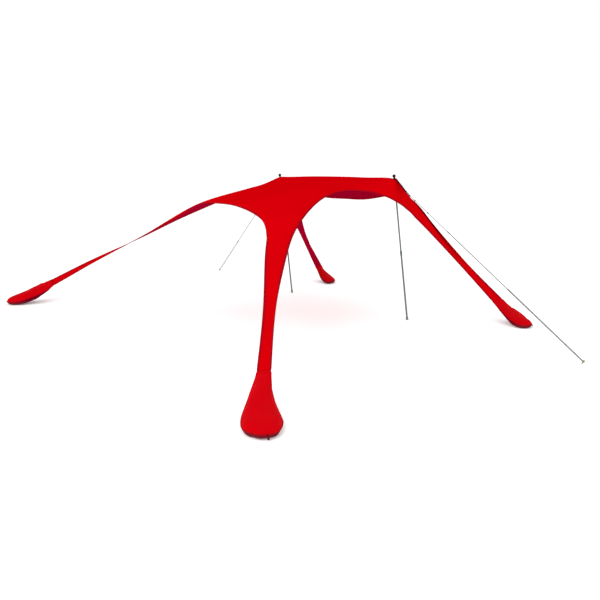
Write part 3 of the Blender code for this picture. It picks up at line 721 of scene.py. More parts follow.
def shifted(points, name, way):
    # hem points moved in one direction by the amounts of the plan
    return points + np.array(sheetPlan[name])[:, None] * way


def hemPoints():
    n, m = sheetPlan["square"], sheetPlan["arm"]
    rightFront, rightRear, rightSide = (np.array(sheetPlan[hem])
                                        for hem in ("frontHem", "rearHem", "sideHem"))
    leftFront = shifted(mirrored(rightFront), "leftFrontDrop", -upright)
    leftRear = shifted(mirrored(rightRear), "leftRearTuck", [0, -1, 0])
    sideHems = {"right": shifted(rightSide, "rightSideDrop", -upright),
                "left": shifted(mirrored(rightSide), "leftSideRise", upright)}
    front, _, _ = throughPoints(np.concatenate([leftFront[::-1], rightFront[1:]]))
    rear, _, _ = throughPoints(np.concatenate([leftRear[::-1], rightRear[1:]]))
    half = len(front) // 2
    rows = {"rightFront": even(front[half:], m), "leftFront": even(front[:half][::-1], m),
            "rightRear": even(rear[half:], m), "leftRear": even(rear[:half][::-1], m)}
    for side, points in sideHems.items():
        curve, t, s = throughPoints(points)
        corner = int(np.argmin(abs(t - s[sheetPlan["sideCorner"]])))
        rows[side + "ToFront"] = even(curve[:corner + 1][::-1], m)
        rows[side + "ToRear"] = even(curve[corner:], m)
    rows["rightRear"][0] = rows["leftRear"][0] = 0.5 * (rows["rightRear"][0] + rows["leftRear"][0])
    fixed = {}
    for r in range(m + 1):
        fixed[(-r, 0)] = rows["leftFront"][r]
        fixed[(0, -r)] = rows["rightFront"][r]
        fixed[(n, -r)] = rows["rightToFront"][r]
        fixed[(-r, n)] = rows["leftToFront"][r]
        fixed[(n + r, 0)] = rows["rightToRear"][r]
        fixed[(0, n + r)] = rows["leftToRear"][r]
        fixed[(n + r, n)] = rows["rightRear"][r]
        fixed[(n, n + r)] = rows["leftRear"][r]
    for j in range(1, n):
        f = j / n
        for first, last, key in (((0, -m), (n, -m), (j, -m)), ((-m, 0), (-m, n), (-m, j)),
                                 ((n + m, 0), (n + m, n), (n + m, j)), ((0, n + m), (n, n + m), (j, n + m))):
            fixed[key] = (1 - f) * fixed[first] + f * fixed[last]
    return fixed


def netKeys():
    n, m = sheetPlan["square"], sheetPlan["arm"]
    keys = [(i, j) for i in range(n + 1) for j in range(n + 1)]
    for r in range(1, m + 1):
        for j in range(n + 1):
            keys += [(-r, j), (n + r, j), (j, -r), (j, n + r)]
    return keys


def crest(key):
    n, reach = sheetPlan["square"], sheetPlan["crestReach"]
    i, j = key
    rise = 0.0
    for across, along in ((i, -j), (j, -i)):
        off = along - sheetPlan["crestRow"]
        if 0 <= across <= n and abs(off) < reach:
            rise += (sheetPlan["crestHigh"] * math.sin(math.pi * across / n)
                     * math.cos(math.pi * off / (2 * reach)) ** 2)
    return rise


def canopyNet():
    keys = netKeys()
    number = {key: i for i, key in enumerate(keys)}
    count = len(keys)
    grid = np.zeros((count, count))
    for (i, j), a in number.items():
        for other in ((i + 1, j), (i, j + 1)):
            b = number.get(other)
            if b is not None:
                grid[a, a] += 1
                grid[b, b] += 1
                grid[a, b] -= 1
                grid[b, a] -= 1
    fixed = hemPoints()
    for side, key in sheetPlan["eyes"].items():
        fixed[key] = levelTip(side)
    held = np.array([number[key] for key in fixed])
    free = np.setdiff1d(np.arange(count), held)
    net = np.zeros((count, 3))
    net[held] = np.array(list(fixed.values()))
    bend = grid @ grid

    def settle(stiff, columns, pull=None, target=None):
        a = stiff[np.ix_(free, free)].copy()
        b = -stiff[np.ix_(free, held)] @ net[held][:, columns]
        if pull is not None:
            a += np.diag(pull[free])
            b += (pull * target)[free][:, None]
        net[np.ix_(free, columns)] = np.linalg.solve(a, b)

    tipX, tipY, _ = sheetPlan["tip"]
    settle(bend + sheetPlan["planTension"] * grid, [0, 1])
    offLine = net[:, 1] - tipY
    pastTip = np.maximum(0, abs(net[:, 0]) - tipX)
    pull = sheetPlan["ridgePull"] * np.exp(-(offLine / sheetPlan["ridgeWide"]) ** 2
                                          - (pastTip / sheetPlan["ridgePast"]) ** 2)
    ridge = sheetPlan["ridgeEnd"] + sheetPlan["ridgeCrown"] * np.maximum(0, 1 - (net[:, 0] / tipX) ** 2)
    settle(bend + sheetPlan["heightTension"] * grid, [2], pull, ridge)
    return {key: leaned(net[number[key]] + [0, 0, crest(key)]) for key in keys}


def netSquares():
    n, m = sheetPlan["square"], sheetPlan["arm"]
    squares = []
    for i in range(-m, n + m):
        for j in range(-m, n + m):
            if 0 <= i < n or 0 <= j < n:
                squares.append([(i, j), (i + 1, j), (i + 1, j + 1), (i, j + 1)])
    return squares


def netMeasure(net):
    # distances along the cloth from its middle, for the pattern of the knit
    half = sheetPlan["square"] // 2
    measure = {}
    for key in net:
        for axis in (0, 1):
            at = list(key)
            way = 1 if key[axis] > half else -1
            total = 0.0
            at[axis] = half
            while at[axis] != key[axis]:
                here = net[tuple(at)]
                at[axis] += way
                total += way * np.linalg.norm(net[tuple(at)] - here)
            measure[(key, axis)] = total
    return measure


def hemKeys():
    n, m = sheetPlan["square"], sheetPlan["arm"]
    return {
        "front": [(-r, 0) for r in range(m, 0, -1)] + [(0, -r) for r in range(m + 1)],
        "right": [(n, -r) for r in range(m, 0, -1)] + [(n + r, 0) for r in range(m + 1)],
        "rear": [(n + r, n) for r in range(m, 0, -1)] + [(n, n + r) for r in range(m + 1)],
        "left": [(0, n + r) for r in range(m, 0, -1)] + [(-r, n) for r in range(m + 1)],
    }


def sharpened(net):
    # net whose smoothed surface runs through the places of the given one
    moved = dict(net)
    for keys in hemKeys().values():
        for before, key, after in zip(keys, keys[1:], keys[2:]):
            moved[key] = net[key] - (net[before] - 2 * net[key] + net[after]) / 6
    for i, j in net:
        near = [(i - 1, j), (i + 1, j), (i, j - 1), (i, j + 1)]
        if all(key in net for key in near) and moved[(i, j)] is net[(i, j)]:
            moved[(i, j)] = net[(i, j)] - (sum(net[key] for key in near) - 4 * net[(i, j)]) / 6
    return moved


def canopyMesh():
    number = {key: i for i, key in enumerate(net)}
    control = sharpened(net)
    points = [control[key] for key in net]
    measure = netMeasure(net)
    flat = [(measure[(key, 0)], measure[(key, 1)]) for key in net]
    eyes = sheetPlan["eyes"].values()
    faces = [[number[key] for key in corners] for corners in netSquares()
             if not any(eye in corners for eye in eyes)]
    for side, (i, j) in sheetPlan["eyes"].items():
        around = [(i - 1, j - 1), (i, j - 1), (i + 1, j - 1), (i + 1, j),
                  (i + 1, j + 1), (i, j + 1), (i - 1, j + 1), (i - 1, j)]
        axis = poleAxis(side)
        middle = net[(i, j)]
        rings = [[number[key] for key in around]]
        for radius in sheetPlan["seatRings"]:
            rings.append(list(range(len(points), len(points) + len(around))))
            for key in around:
                out = net[key] - middle
                out = out - axis * out.dot(axis)
                points.append(middle + unit(out) * radius)
                share = radius / np.linalg.norm(net[key] - middle)
                flat.append([(1 - share) * measure[((i, j), a)] + share * measure[(key, a)]
                             for a in (0, 1)])
        for outer, inner in zip(rings, rings[1:]):
            for a in range(len(around)):
                b = (a + 1) % len(around)
                faces.append([outer[a], outer[b], inner[b], inner[a]])
    used = sorted({k for face in faces for k in face})
    place = {k: p for p, k in enumerate(used)}
    return meshOf("canopy", [points[k] + shift for k in used], [[place[k] for k in face] for face in faces],
                  [[flat[k] for k in face] for face in faces])


foldPlan = {"deep": 0.0042, "count": 11, "from": 0.09, "to": 0.80}


def addFolds(mesh):
    # soft tension folds that run out from the two tips
    normals = [v.normal.copy() for v in mesh.vertices]
    for side in sides:
        middle = Vector(tipOf(side) + shift)
        for vert, normal in zip(mesh.vertices, normals):
            out = vert.co - middle
            far = math.hypot(out.x, out.y)
            if foldPlan["from"] < far < foldPlan["to"]:
                turn = math.atan2(out.y, out.x)
                share = (far - foldPlan["from"]) / (foldPlan["to"] - foldPlan["from"])
                deep = foldPlan["deep"] * math.sin(math.pi * share ** 0.6) ** 1.5
                vert.co += normal * deep * math.cos(foldPlan["count"] * turn + 0.8 * math.sin(2 * turn))


net = canopyNet()
print("canopy net settled")
middleSkin = subdivided(canopyMesh(), 2)
addFolds(middleSkin)
middleSkin.update()

canopy = piece("canopy", middleSkin.copy(), ["redKnit", "redKnitUnderPaintedShade"],
               ["roof_panel"] + ["leg_" + arm for arm in arms], sharp=0)
wall = canopy.modifiers.new("wall", "SOLIDIFY")
wall.thickness = sheetPlan["thick"]
wall.offset = 0.0
# the underside faces take the darker copy of the knit, as painted shade
wall.material_offset = 1
wall.use_rim = True
print("canopy made")


def legEnd(arm):
    n, m = sheetPlan["square"], sheetPlan["arm"]
    first, last, back = {
        "front_left": ((-m, 0), (-m, n), (1, 0)), "front_right": ((0, -m), (n, -m), (0, 1)),
        "rear_left": ((0, n + m), (n, n + m), (0, -1)), "rear_right": ((n + m, 0), (n + m, n), (-1, 0)),
    }[arm]
    before = [net[(key[0] + back[0], key[1] + back[1])] for key in (first, last)]
    return net[first] + shift, net[last] + shift, unit(net[first] + net[last] - before[0] - before[1])


# Hems: tape folded over the sheet's edge, sewn through from both faces

hemPlan = {"wide": 0.021, "proud": 0.0016, "step": 0.024, "seamIn": 0.0160, "lap": 0.0035, "round": 0.001}


def rimLoop(mesh):
    # the outer edge of the smoothed sheet as one chain of points
    following = {}
    for polygon in mesh.polygons:
        around = polygon.vertices
        for a, b in zip(around, list(around[1:]) + [around[0]]):
            following.setdefault(a, set()).add(b)
    chain = {a: b for a in following for b in following[a] if a not in following.get(b, ())}
    left = set(chain)
    loops = []
    while left:
        at = min(left)
        loop = []
        while at in left:
            left.discard(at)
            loop.append(at)
            at = chain[at]
        loops.append(loop)
    return max(loops, key=len)


def hemPaths():
    # the chain cut at the ends of the legs
    loop = rimLoop(middleSkin)
    place = np.array([middleSkin.vertices[k].co[:] for k in loop])
    corners = {}
    for arm in arms:
        for point in legEnd(arm)[:2]:
            corners[int(np.argmin(np.linalg.norm(place - point, axis=1)))] = arm
    turns = sorted(corners)
    paths = []
    for a, b in zip(turns, turns[1:] + [turns[0] + len(loop)]):
        if corners[a] != corners[b % len(loop)]:
            paths.append([loop[k % len(loop)] for k in range(a, b + 1)])
    return paths


def hemBand(keys):
    # the band itself, and the two seam lines on its faces
    path = np.array([middleSkin.vertices[k].co[:] for k in keys])
    normal = np.array([middleSkin.vertices[k].normal[:] for k in keys])
    steps = int(distances(path)[-1] / hemPlan["step"])
    both = even(np.hstack([path, normal]), steps)
    path, normal = both[:, :3], both[:, 3:]
    ways = pathWays(path)
    across = np.array([unit(np.cross(n, w)) for n, w in zip(normal, ways)])
    lift = np.array([unit(np.cross(w, a)) for w, a in zip(ways, across)])
    thick = sheetPlan["thick"] / 2 + hemPlan["proud"]
    wide = hemPlan["wide"]
    lap, corner = hemPlan["lap"], wide - hemPlan["round"]
    profile = [(-lap, 0.0), (0.001 - lap, 0.7 * thick), (0.0005, thick), (0.5 * wide, thick), (corner, thick),
               (wide, 0.6 * thick), (wide, -0.6 * thick), (corner, -thick), (0.5 * wide, -thick),
               (0.0005, -thick), (0.001 - lap, -0.7 * thick)]
    middle = path[len(path) // 2]
    name = ("front" if middle[1] < 0 else "rear") if abs(middle[0] - shift[0]) < 0.5 else (
        "right" if middle[0] > 0 else "left")
    seams = [path + across * hemPlan["seamIn"] + lift * face * (thick + 0.0002) for face in (1, -1)]
    mesh = sweep("hem", path, across, profile)
    return piece("hem_" + name, mesh, ["hemTape"]), seams


for keys in hemPaths():
    hem, seams = hemBand(keys)
    grown(hem.name + "_stitches", [(seam, False) for seam in seams], stitches, stitchPlan["hem"])


# Sandbags

bagPlan = {
    "front_left": {"toe": (-3.211, -2.878), "way": -108, "half": 0.180, "high": 0.092, "widest": 0.68,
                   "flare": 0.6, "flat": 0.7, "keep": 0.05, "settle": 0.44, "blunt": 2.2,
                   "lip": 0.0100, "fullBy": 0.56},
    "front_right": {"toe": (3.790, -2.678), "way": -20, "half": 0.184, "high": 0.080, "widest": 0.82,
                    "flare": 2.3, "flat": 0.6, "keep": 0.16, "settle": 0.54, "blunt": 1.7,
                    "lip": 0.0070, "fullBy": 0.62},
    "rear_left": {"toe": (-1.591, 2.406), "way": 20, "half": 0.150, "high": 0.058, "widest": 0.73,
                  "flare": 1.6, "flat": 0.35, "keep": 0.28, "settle": 0.30, "blunt": 2.2,
                  "lip": 0.0045, "fullBy": 0.62},
    "rear_right": {"toe": (2.673, 2.379), "way": 12, "half": 0.173, "high": 0.067, "widest": 0.60,
                   "flare": 1.15, "flat": 0.5, "keep": 0.25, "settle": 0.28, "blunt": 2.2,
                   "lip": 0.0045, "fullBy": 0.62},
}
bagForm = {"seamHigh": 0.052, "settleHigh": 0.020, "mouth": 0.010, "lipLong": 0.10, "deep": 1.12,
           "rings": 60, "around": 72, "slack": 0.94, "sideSlack": 0.975, "lowest": 0.0015,
           "roundSide": 0.92, "roundTop": 0.95, "roundLow": 0.55,
           "widthRange": (0.95, 1.15), "heightRange": (0.92, 1.10)}
puffPlan = {"voxel": 0.011, "pressure": 4.0, "frames": 20, "cap": 0.012, "growth": -0.035, "held": 0.05,
            "free": 0.22, "blendFrom": 0.06, "blendOver": 0.22}
pleatPlan = {"deep": 0.0026, "count": 9, "top": 0.20, "end": 0.66, "wander": 1.7, "slant": 3.0}


def bagAt(arm, t):
    # centre, way, side and up directions, half width, rise and depth of a bag at a share of its length
    plan = bagPlan[arm]
    first, last, legWay = legEnd(arm)
    start = 0.5 * (first + last)
    heading = np.array([math.cos(math.radians(plan["way"])), math.sin(math.radians(plan["way"])), 0.0])
    toe = np.array([*plan["toe"], bagForm["seamHigh"]]) + shift
    length = np.linalg.norm((toe - start)[:2])
    lead = start + legWay * length * plan["keep"]
    bend = toe - heading * length * plan["settle"]
    bend[2] = bagForm["settleHigh"]
    u = 1 - t
    centre = u ** 3 * start + 3 * t * u * u * lead + 3 * t * t * u * bend + t ** 3 * toe
    way = unit(u * u * (lead - start) + 2 * t * u * (bend - lead) + t * t * (toe - bend))
    sideGround = np.array([-heading[1], heading[0], 0.0])
    sideMouth = unit(last - first)
    if sideMouth @ sideGround < 0:
        sideMouth = -sideMouth
    lying = ease(t / plan["flat"])
    side = unit((1 - lying) * sideMouth + lying * sideGround)
    lift = unit(np.cross(way, side))
    lift = lift if lift[2] > 0 else -lift
    tail = max(0.0, (t - plan["widest"]) / (1 - plan["widest"]))
    roundEnd = math.sqrt(max(0.0, 1 - tail ** plan["blunt"]))
    swell = ease(t / plan["widest"]) ** plan["flare"]
    mouthHalf = 0.5 * np.linalg.norm(last - first)
    half = (mouthHalf + (plan["half"] - mouthHalf) * swell) * roundEnd
    fill = ease(t / plan["fullBy"]) * roundEnd ** 0.9
    lip = plan["lip"] + (bagForm["mouth"] - plan["lip"]) * ease(t / bagForm["lipLong"])
    top = lip * (1 - t) + plan["high"] * fill
    low = lip * (1 - t) + bagForm["seamHigh"] * bagForm["deep"] * fill
    return centre, way, side, lift, half, top, low


def bagRing(arm, t, proud=0.0, slack=1.0, sideSlack=1.0):
    centre, _, side, lift, half, top, low = bagAt(arm, t)
    ring = []
    for q in range(bagForm["around"]):
        turn = 2 * math.pi * q / bagForm["around"]
        out = math.copysign(abs(math.cos(turn)) ** bagForm["roundSide"], math.cos(turn))
        part = math.sin(turn)
        if part > 0:
            rise = (top * slack + proud) * part ** bagForm["roundTop"]
        else:
            rise = -(low * slack + proud) * abs(part) ** bagForm["roundLow"]
        place = centre + side * (half * sideSlack + proud) * out + lift * rise
        place[2] = max(bagForm["lowest"], place[2])
        ring.append(place)
    return ring


def ringShare(k):
    return (k / bagForm["rings"]) ** 0.9 * 0.998


def bagGrid(arm):
    # rings of the bag before it is filled, a little slack where the sand will push it out
    rings = []
    for k in range(bagForm["rings"] + 1):
        t = ringShare(k)
        fade = ease(t / 0.2)
        rings.append(bagRing(arm, t, 0.0, 1 - (1 - bagForm["slack"]) * fade,
                             1 - (1 - bagForm["sideSlack"]) * fade))
    return np.array(rings)


def bagMesh(grid):
    rings, count = grid.shape[:2]
    along = distances(grid.mean(axis=1))
    closed = np.concatenate([grid, grid[:, :1]], axis=1)
    girth = np.array([distances(ring) for ring in closed])
    faces = gridFaces(rings, count)
    flat = gridFlat(along, girth)
    lastRing = list(range((rings - 1) * count, rings * count))
    for k, ring in ((0, list(range(count))[::-1]), (rings - 1, lastRing)):
        faces.append(ring)
        flat.append([(along[k], girth[k][q % count]) for q in ring])
    return outward(meshOf("bag", grid.reshape(-1, 3), faces, flat))


def markLowerPaintedShade(mesh, count):
    # the lower half of the bag, below its piping, gets a darker cloth colour as painted shade
    for k in range(len(mesh.polygons) - 2):
        if k % count >= count // 2:
            mesh.polygons[k].material_index = 1


def within(value, bounds):
    return min(bounds[1], max(bounds[0], value))


def widened(arm, grid):
    # brings each ring back to its planned width and height, so that filling only rounds it
    for k in range(len(grid)):
        centre, _, side, lift, half, top, _ = bagAt(arm, ringShare(k))
        out = (grid[k] - centre) @ side
        rise = (grid[k] - centre) @ lift
        wide = within(half / max(np.abs(out).max(), 1e-6), bagForm["widthRange"])
        tall = within(top / max(rise.max(), 1e-6), bagForm["heightRange"])
        grid[k] += side * (out * (wide - 1))[:, None]
        grid[k] += lift * (np.maximum(rise, 0.0) * (tall - 1))[:, None]
    return grid


def filled(arm, mesh):
    # cloth simulation of the slack bag under pressure, held at its mouth, with its movement capped
    work = working(mesh.copy())
    remesh = work.modifiers.new("remesh", "REMESH")
    remesh.mode = "VOXEL"
    remesh.voxel_size = puffPlan["voxel"]
    work = working(evaluated(work))
    before = np.array([v.co[:] for v in work.data.vertices])
    first, last, legWay = legEnd(arm)
    fromMouth = (before - 0.5 * (first + last)) @ legWay
    held = work.vertex_groups.new(name="held")
    for k, far in enumerate(fromMouth):
        weight = 1 - ease((far - puffPlan["held"]) / (puffPlan["free"] - puffPlan["held"]))
        if weight > 0:
            held.add([k], weight, "REPLACE")
    cloth = work.modifiers.new("cloth", "CLOTH")
    cloth.settings.vertex_group_mass = "held"
    cloth.settings.use_pressure = True
    cloth.settings.uniform_pressure_force = puffPlan["pressure"]
    cloth.settings.shrink_min = puffPlan["growth"]
    cloth.settings.effector_weights.gravity = 0.0
    cloth.point_cache.frame_start = 1
    cloth.point_cache.frame_end = puffPlan["frames"]
    for number in range(1, puffPlan["frames"] + 1):
        scene.frame_set(number)
    after = evaluated(work)
    moved = np.array([v.co[:] for v in after.vertices]) - before
    far = np.linalg.norm(moved, axis=1)[:, None]
    places = before + moved * np.minimum(1.0, puffPlan["cap"] / np.maximum(far, 1e-9))
    places[:, 2] = np.maximum(bagForm["lowest"], places[:, 2])
    scene.frame_set(1)
    return BVHTree.FromPolygons([Vector(p) for p in places], [p.vertices[:] for p in after.polygons])


def settled(arm):
    # rings of the filled bag, with pleats where the leg's cloth is gathered into it
    grid = bagGrid(arm)
    mesh = bagMesh(grid)
    skin = filled(arm, mesh)
    for k in range(len(grid)):
        share = ease((k / (len(grid) - 1) - puffPlan["blendFrom"]) / puffPlan["blendOver"])
        for q in range(grid.shape[1]):
            near, _, _, _ = skin.find_nearest(Vector(grid[k, q]))
            grid[k, q] += share * (np.array(near) - grid[k, q])
    grid = widened(arm, grid)
    mesh = bagMesh(grid)
    normals = np.array([v.normal[:] for v in mesh.vertices]).reshape(grid.shape)
    for k in range(len(grid)):
        share = k / (len(grid) - 1)
        fade = ease((share - pleatPlan["top"]) / (pleatPlan["end"] - pleatPlan["top"]))
        gather = ease(share / pleatPlan["top"]) * (1 - fade)
        for q in range(grid.shape[1]):
            turn = 2 * math.pi * q / grid.shape[1]
            fold = math.cos(pleatPlan["count"] * turn + pleatPlan["wander"] * math.sin(turn)
                            + pleatPlan["slant"] * share)
            flank = abs(math.sin(turn)) ** 0.5
            grid[k, q] += normals[k, q] * pleatPlan["deep"] * gather * fold * flank
    grid[..., 2] = np.maximum(bagForm["lowest"], grid[..., 2])
    return grid


bandPlan = {
    "stations": [(0.0, -0.011, 0.0012), (0.0, -0.010, 0.0030), (0.0, 0.0, 0.0032), (0.010, 0.0, 0.0032),
                 (0.020, 0.0, 0.0030), (0.021, 0.0, 0.0012)],
    "seams": [(0.0, -0.006, 0.0034), (0.014, 0.0, 0.0034)],
    "flat": [(0.0, 0.0), (0.0, 0.004), (0.004, 0.004), (0.004, 0.0)],
}


def mouthBand(arm):
    # band that closes the bag round the end of the leg, with its two seam lines; a station is a share of
    # the bag's length, a way back up the leg and how proud it stands
    _, _, legWay = legEnd(arm)

    def ringsAt(stations):
        return [np.array(bagRing(arm, t, proud)) + legWay * back for t, back, proud in stations]

    inner = ringsAt([(t, back, 0.0) for t, back, _ in bandPlan["stations"][::-1]])
    grid = np.array(ringsAt(bandPlan["stations"]) + inner)
    faces = gridFaces(len(grid), grid.shape[1], closed=True)
    mesh = meshOf("band", grid.reshape(-1, 3), faces, [bandPlan["flat"]] * len(faces))
    return outward(mesh), ringsAt(bandPlan["seams"])


seamPlan = {"out": 0.0060, "in": 0.0070, "thick": 0.0019, "step": 0.012, "lowest": 0.0045,
            "toeTurn": 0.02, "toeReach": 0.03, "beside": 3}


def edgeSeam(grid):
    # piping down one side of the bag, round its toe and back up the other side
    half = grid.shape[1] // 2
    centre = grid.mean(axis=1)
    path = np.concatenate([grid[:, 0], grid[::-1, half]])
    middle = np.concatenate([centre, centre[::-1]])
    both = even(np.hstack([path, middle]), int(distances(path)[-1] / seamPlan["step"]))
    path, middle = both[:, :3], both[:, 3:]
    for _ in range(2):
        path[1:-1] = 0.25 * path[:-2] + 0.5 * path[1:-1] + 0.25 * path[2:]
    path[:, 2] = np.maximum(path[:, 2], seamPlan["lowest"])
    toe = unit((centre[-1] - centre[-3]) * [1, 1, 0])
    ends = np.exp(-(np.linalg.norm(path - centre[-1], axis=1) / seamPlan["toeReach"]) ** 2)[:, None]
    across = path - middle + toe * seamPlan["toeTurn"] * ends
    out, inner, thick = seamPlan["out"], seamPlan["in"], seamPlan["thick"]
    profile = [(out, 0.4 * thick), (out - 0.001, thick), (0.0, thick), (-inner, thick),
               (-inner, -thick), (0.0, -thick), (out - 0.001, -thick), (out, -0.4 * thick)]
    return sweep("seam", path, across, profile)


def bagStitches(grid):
    # seam lines on the top of the bag, beside its piping
    half = grid.shape[1] // 2
    return [(even(grid[2:-3, q] + upright * 0.0006, 60), False)
            for q in (seamPlan["beside"], half - seamPlan["beside"])]


for arm in arms:
    grid = settled(arm)
    bag = piece("bag_" + arm, bagMesh(grid), ["bagKnit", "bagLowerPaintedShade"],
                ["sandbag_" + arm], sharp=0)
    # the bag's lower half darkened as painted shade
    markLowerPaintedShade(bag.data, bagForm["around"])
    finer = bag.modifiers.new("finer", "SUBSURF")
    finer.levels = finer.render_levels = 1
    piece("bag_seam_" + arm, edgeSeam(grid), ["hemTape"])
    band, seams = mouthBand(arm)
    piece("bag_band_" + arm, band, ["bagKnit"])
    lines = [(seam, True) for seam in seams] + bagStitches(grid)
    grown("bag_stitches_" + arm, lines, stitches, stitchPlan["bag"])
    print("bag filled:", arm)


# Flat webbing

def webbingProfile(wide, thick):
    w, t = wide / 2, thick / 2
    return [(-w, 0.5 * t), (-w + 0.0006, t), (w - 0.0006, t), (w, 0.5 * t),
            (w, -0.5 * t), (w - 0.0006, -t), (-w + 0.0006, -t), (-w, -0.5 * t)]


loopPlan = {
    "wide": 0.020, "thick": 0.0017, "whole": ["front_right"],
    "path": [(-0.008, 0.0016), (0.004, 0.0014), (0.0130, -0.0048), (0.0240, -0.0192), (0.0318, -0.0292),
             (0.0322, -0.0318), (0.0298, -0.0312), (0.0218, -0.0208), (0.0112, -0.0068), (0.003, -0.0008),
             (-0.008, -0.0007)],
    "shortPath": [(-0.008, 0.0016), (0.004, 0.0014), (0.0120, -0.0060), (0.0180, -0.0146), (0.0186, -0.0172),
                  (0.0164, -0.0168), (0.0102, -0.0080), (0.003, -0.0008), (-0.008, -0.0007)],
}

for arm in arms:
    centre, way, *_ = bagAt(arm, 0.998)
    heading = unit(way * [1, 1, 0])
    across = np.cross(upright, heading)
    turns = loopPlan["path" if arm in loopPlan["whole"] else "shortPath"]
    places = [centre + heading * out + upright * rise for out, rise in turns]
    path, _, _ = throughPoints(places, 44)
    mesh = sweep("loop", path, [across] * len(path), webbingProfile(loopPlan["wide"], loopPlan["thick"]))
    piece("toe_webbing_" + arm, mesh, ["darkWebbing"], ["toe_loop_" + arm])
print("toe loops made")


# Poles: their sections and sleeves keep their solids, and get feet and buttons

footPlan = {"wide": 0.0180, "neck": 0.0150, "high": 0.045, "below": 0.012, "sole": 0.004, "neckAt": 0.040,
            "ribs": 4, "ribFrom": 0.006, "ribStep": 0.0075, "ribTaper": 0.0009, "groove": 0.0014,
            "ground": 0.0004}
buttonPlan = {"radius": 0.0042, "high": 0.0022, "below": 0.075, "out": 0.0125, "root": 0.004}

for side in sides:
    axis = poleAxis(side)
    foot = np.array([*polePlan["foot"][side], 0.0]) + shift
    wide = footPlan["wide"]
    profile = [(0.0, -footPlan["below"]), (wide, -footPlan["below"]), (wide, footPlan["sole"])]
    for k in range(footPlan["ribs"]):
        low = footPlan["ribFrom"] + footPlan["ribStep"] * k
        radius = wide - footPlan["ribTaper"] * k
        groove = radius - footPlan["groove"]
        profile += [(groove, low), (groove, low + 0.0022), (radius, low + 0.0034), (radius, low + 0.0060)]
    profile += [(footPlan["neck"], footPlan["neckAt"]), (footPlan["neck"], footPlan["high"]),
                (0.0, footPlan["high"])]
    mesh = spun("foot", profile, foot, axis, ground=footPlan["ground"])
    piece("pole_boot_" + side, mesh, ["footRubber"], ["pole_foot_" + side], sharp=35)
    tipAt = np.linalg.norm(tipOf(side) - [*polePlan["foot"][side], 0.0])
    out = unit(np.cross(axis, [1.0, 0.6, 0.0]))
    radius, high = buttonPlan["radius"], buttonPlan["high"]
    root = -buttonPlan["root"]
    dome = [(0.0, root), (radius, root), (radius, 0.2 * high), (0.85 * radius, 0.7 * high),
            (0.5 * radius, 0.95 * high), (0.0, high)]
    place = foot + axis * (tipAt * polePlan["jointAt"] - buttonPlan["below"]) + out * buttonPlan["out"]
    piece("pole_button_" + side, spun("button", dome, place, out, steps=20),
          ["ringSteel"])
print("pole details made")


# Tips: patch, strap, knob and the line's fittings

tipPlan = {
    "patchAt": 0.0018, "collarAt": 0.0071, "knobAt": 0.0134,
    "patch": [(0.0075, 0.0), (0.0290, 0.0), (0.0293, 0.0010), (0.0280, 0.0021), (0.0262, 0.0031),
              (0.0180, 0.0034), (0.0130, 0.0040), (0.0110, 0.0050), (0.0075, 0.0050), (0.0075, 0.0)],
    "under": [(0.0118, -0.0034), (0.0330, -0.0034), (0.0338, -0.0026), (0.0336, -0.0016), (0.0118, -0.0016),
              (0.0118, -0.0034)],
    "grommet": [(0.0058, 0.0), (0.0105, 0.0), (0.0112, 0.0008), (0.0105, 0.0050), (0.0085, 0.0060),
                (0.0065, 0.0060), (0.0058, 0.0052), (0.0058, 0.0)],
    "knob": [(0.0, 0.0), (0.0135, 0.0), (0.0140, 0.0020), (0.0138, 0.0080), (0.0140, 0.0120),
             (0.0158, 0.0165), (0.0188, 0.0205), (0.0214, 0.0250), (0.0230, 0.0300), (0.0235, 0.0345),
             (0.0230, 0.0388), (0.0208, 0.0435), (0.0168, 0.0480), (0.0118, 0.0514), (0.0060, 0.0534),
             (0.0, 0.0540)],
    "flutes": 14, "fluteDeep": 0.045,
    "seams": [(0.0051, 0.0225), (0.0051, 0.0195), (-0.0036, 0.0295)],
}
guyPlan = {
    "stake": {"left": (-4.10, 1.50), "right": (4.04, 1.41)},
    "startAt": 0.0101, "collar": 0.0093, "level": 0.013, "ringOut": 0.210, "ringHigh": 1.812,
    "strapWide": 0.042, "strapThick": 0.0018, "strapBack": 0.060, "strapPast": 0.015,
    "barBack": 0.0118, "barHalf": 0.0215, "ringRound": 0.0135, "ringWire": 0.0024,
    "ringReach": 0.0169, "hookAt": 0.030, "runnerAt": 0.61, "runnerLong": 0.054, "post": 0.0065,
    "eyeLong": 0.050, "eyeHalf": 0.0068, "eyeBack": 0.0055, "knotFirst": 0.0075, "knotLater": 0.0085,
    "knotOut": (0.352, 0.562), "spliceOut": 0.872, "spliceLong": 0.045, "turns": 12,
}
runnerPlan = {
    "start": [(0.0, 0.0), (0.0055, 0.0), (0.0078, 0.0010), (0.0085, 0.0030), (0.0085, 0.0070),
              (0.0074, 0.0085)],
    "inner": 0.0074, "outer": 0.0081, "ribFrom": 0.0100, "ribStep": 0.0070, "ribs": 5, "ribWide": 0.0052,
    "end": [(0.0074, 0.0455), (0.0085, 0.0470), (0.0085, 0.0510), (0.0078, 0.0530), (0.0055, 0.0540),
            (0.0, 0.0540)],
}


def guyLine(side):
    # places and directions of one line, as they are in the solids
    axis = poleAxis(side)
    start = tipOf(side) + axis * guyPlan["startAt"]
    stake = np.array([*guyPlan["stake"][side], 0.0])
    level = unit((stake - start) * [1, 1, 0])
    bend = start + level * (guyPlan["collar"] + guyPlan["level"])
    ring = start + level * guyPlan["ringOut"]
    ring[2] = guyPlan["ringHigh"]
    reach = np.linalg.norm((stake - ring)[:2])
    slope = math.atan2(ring[2], reach) - math.asin(guyPlan["hookAt"] / math.hypot(reach, ring[2]))
    way = level * math.cos(slope) - upright * math.sin(slope)
    lift = level * math.sin(slope) + upright * math.cos(slope)
    return {"axis": axis, "start": start + shift, "level": level, "bend": bend + shift, "ring": ring + shift,
            "drop": unit(ring - bend), "way": way, "lift": lift, "across": np.cross(lift, way),
            "length": (stake - ring) @ way}


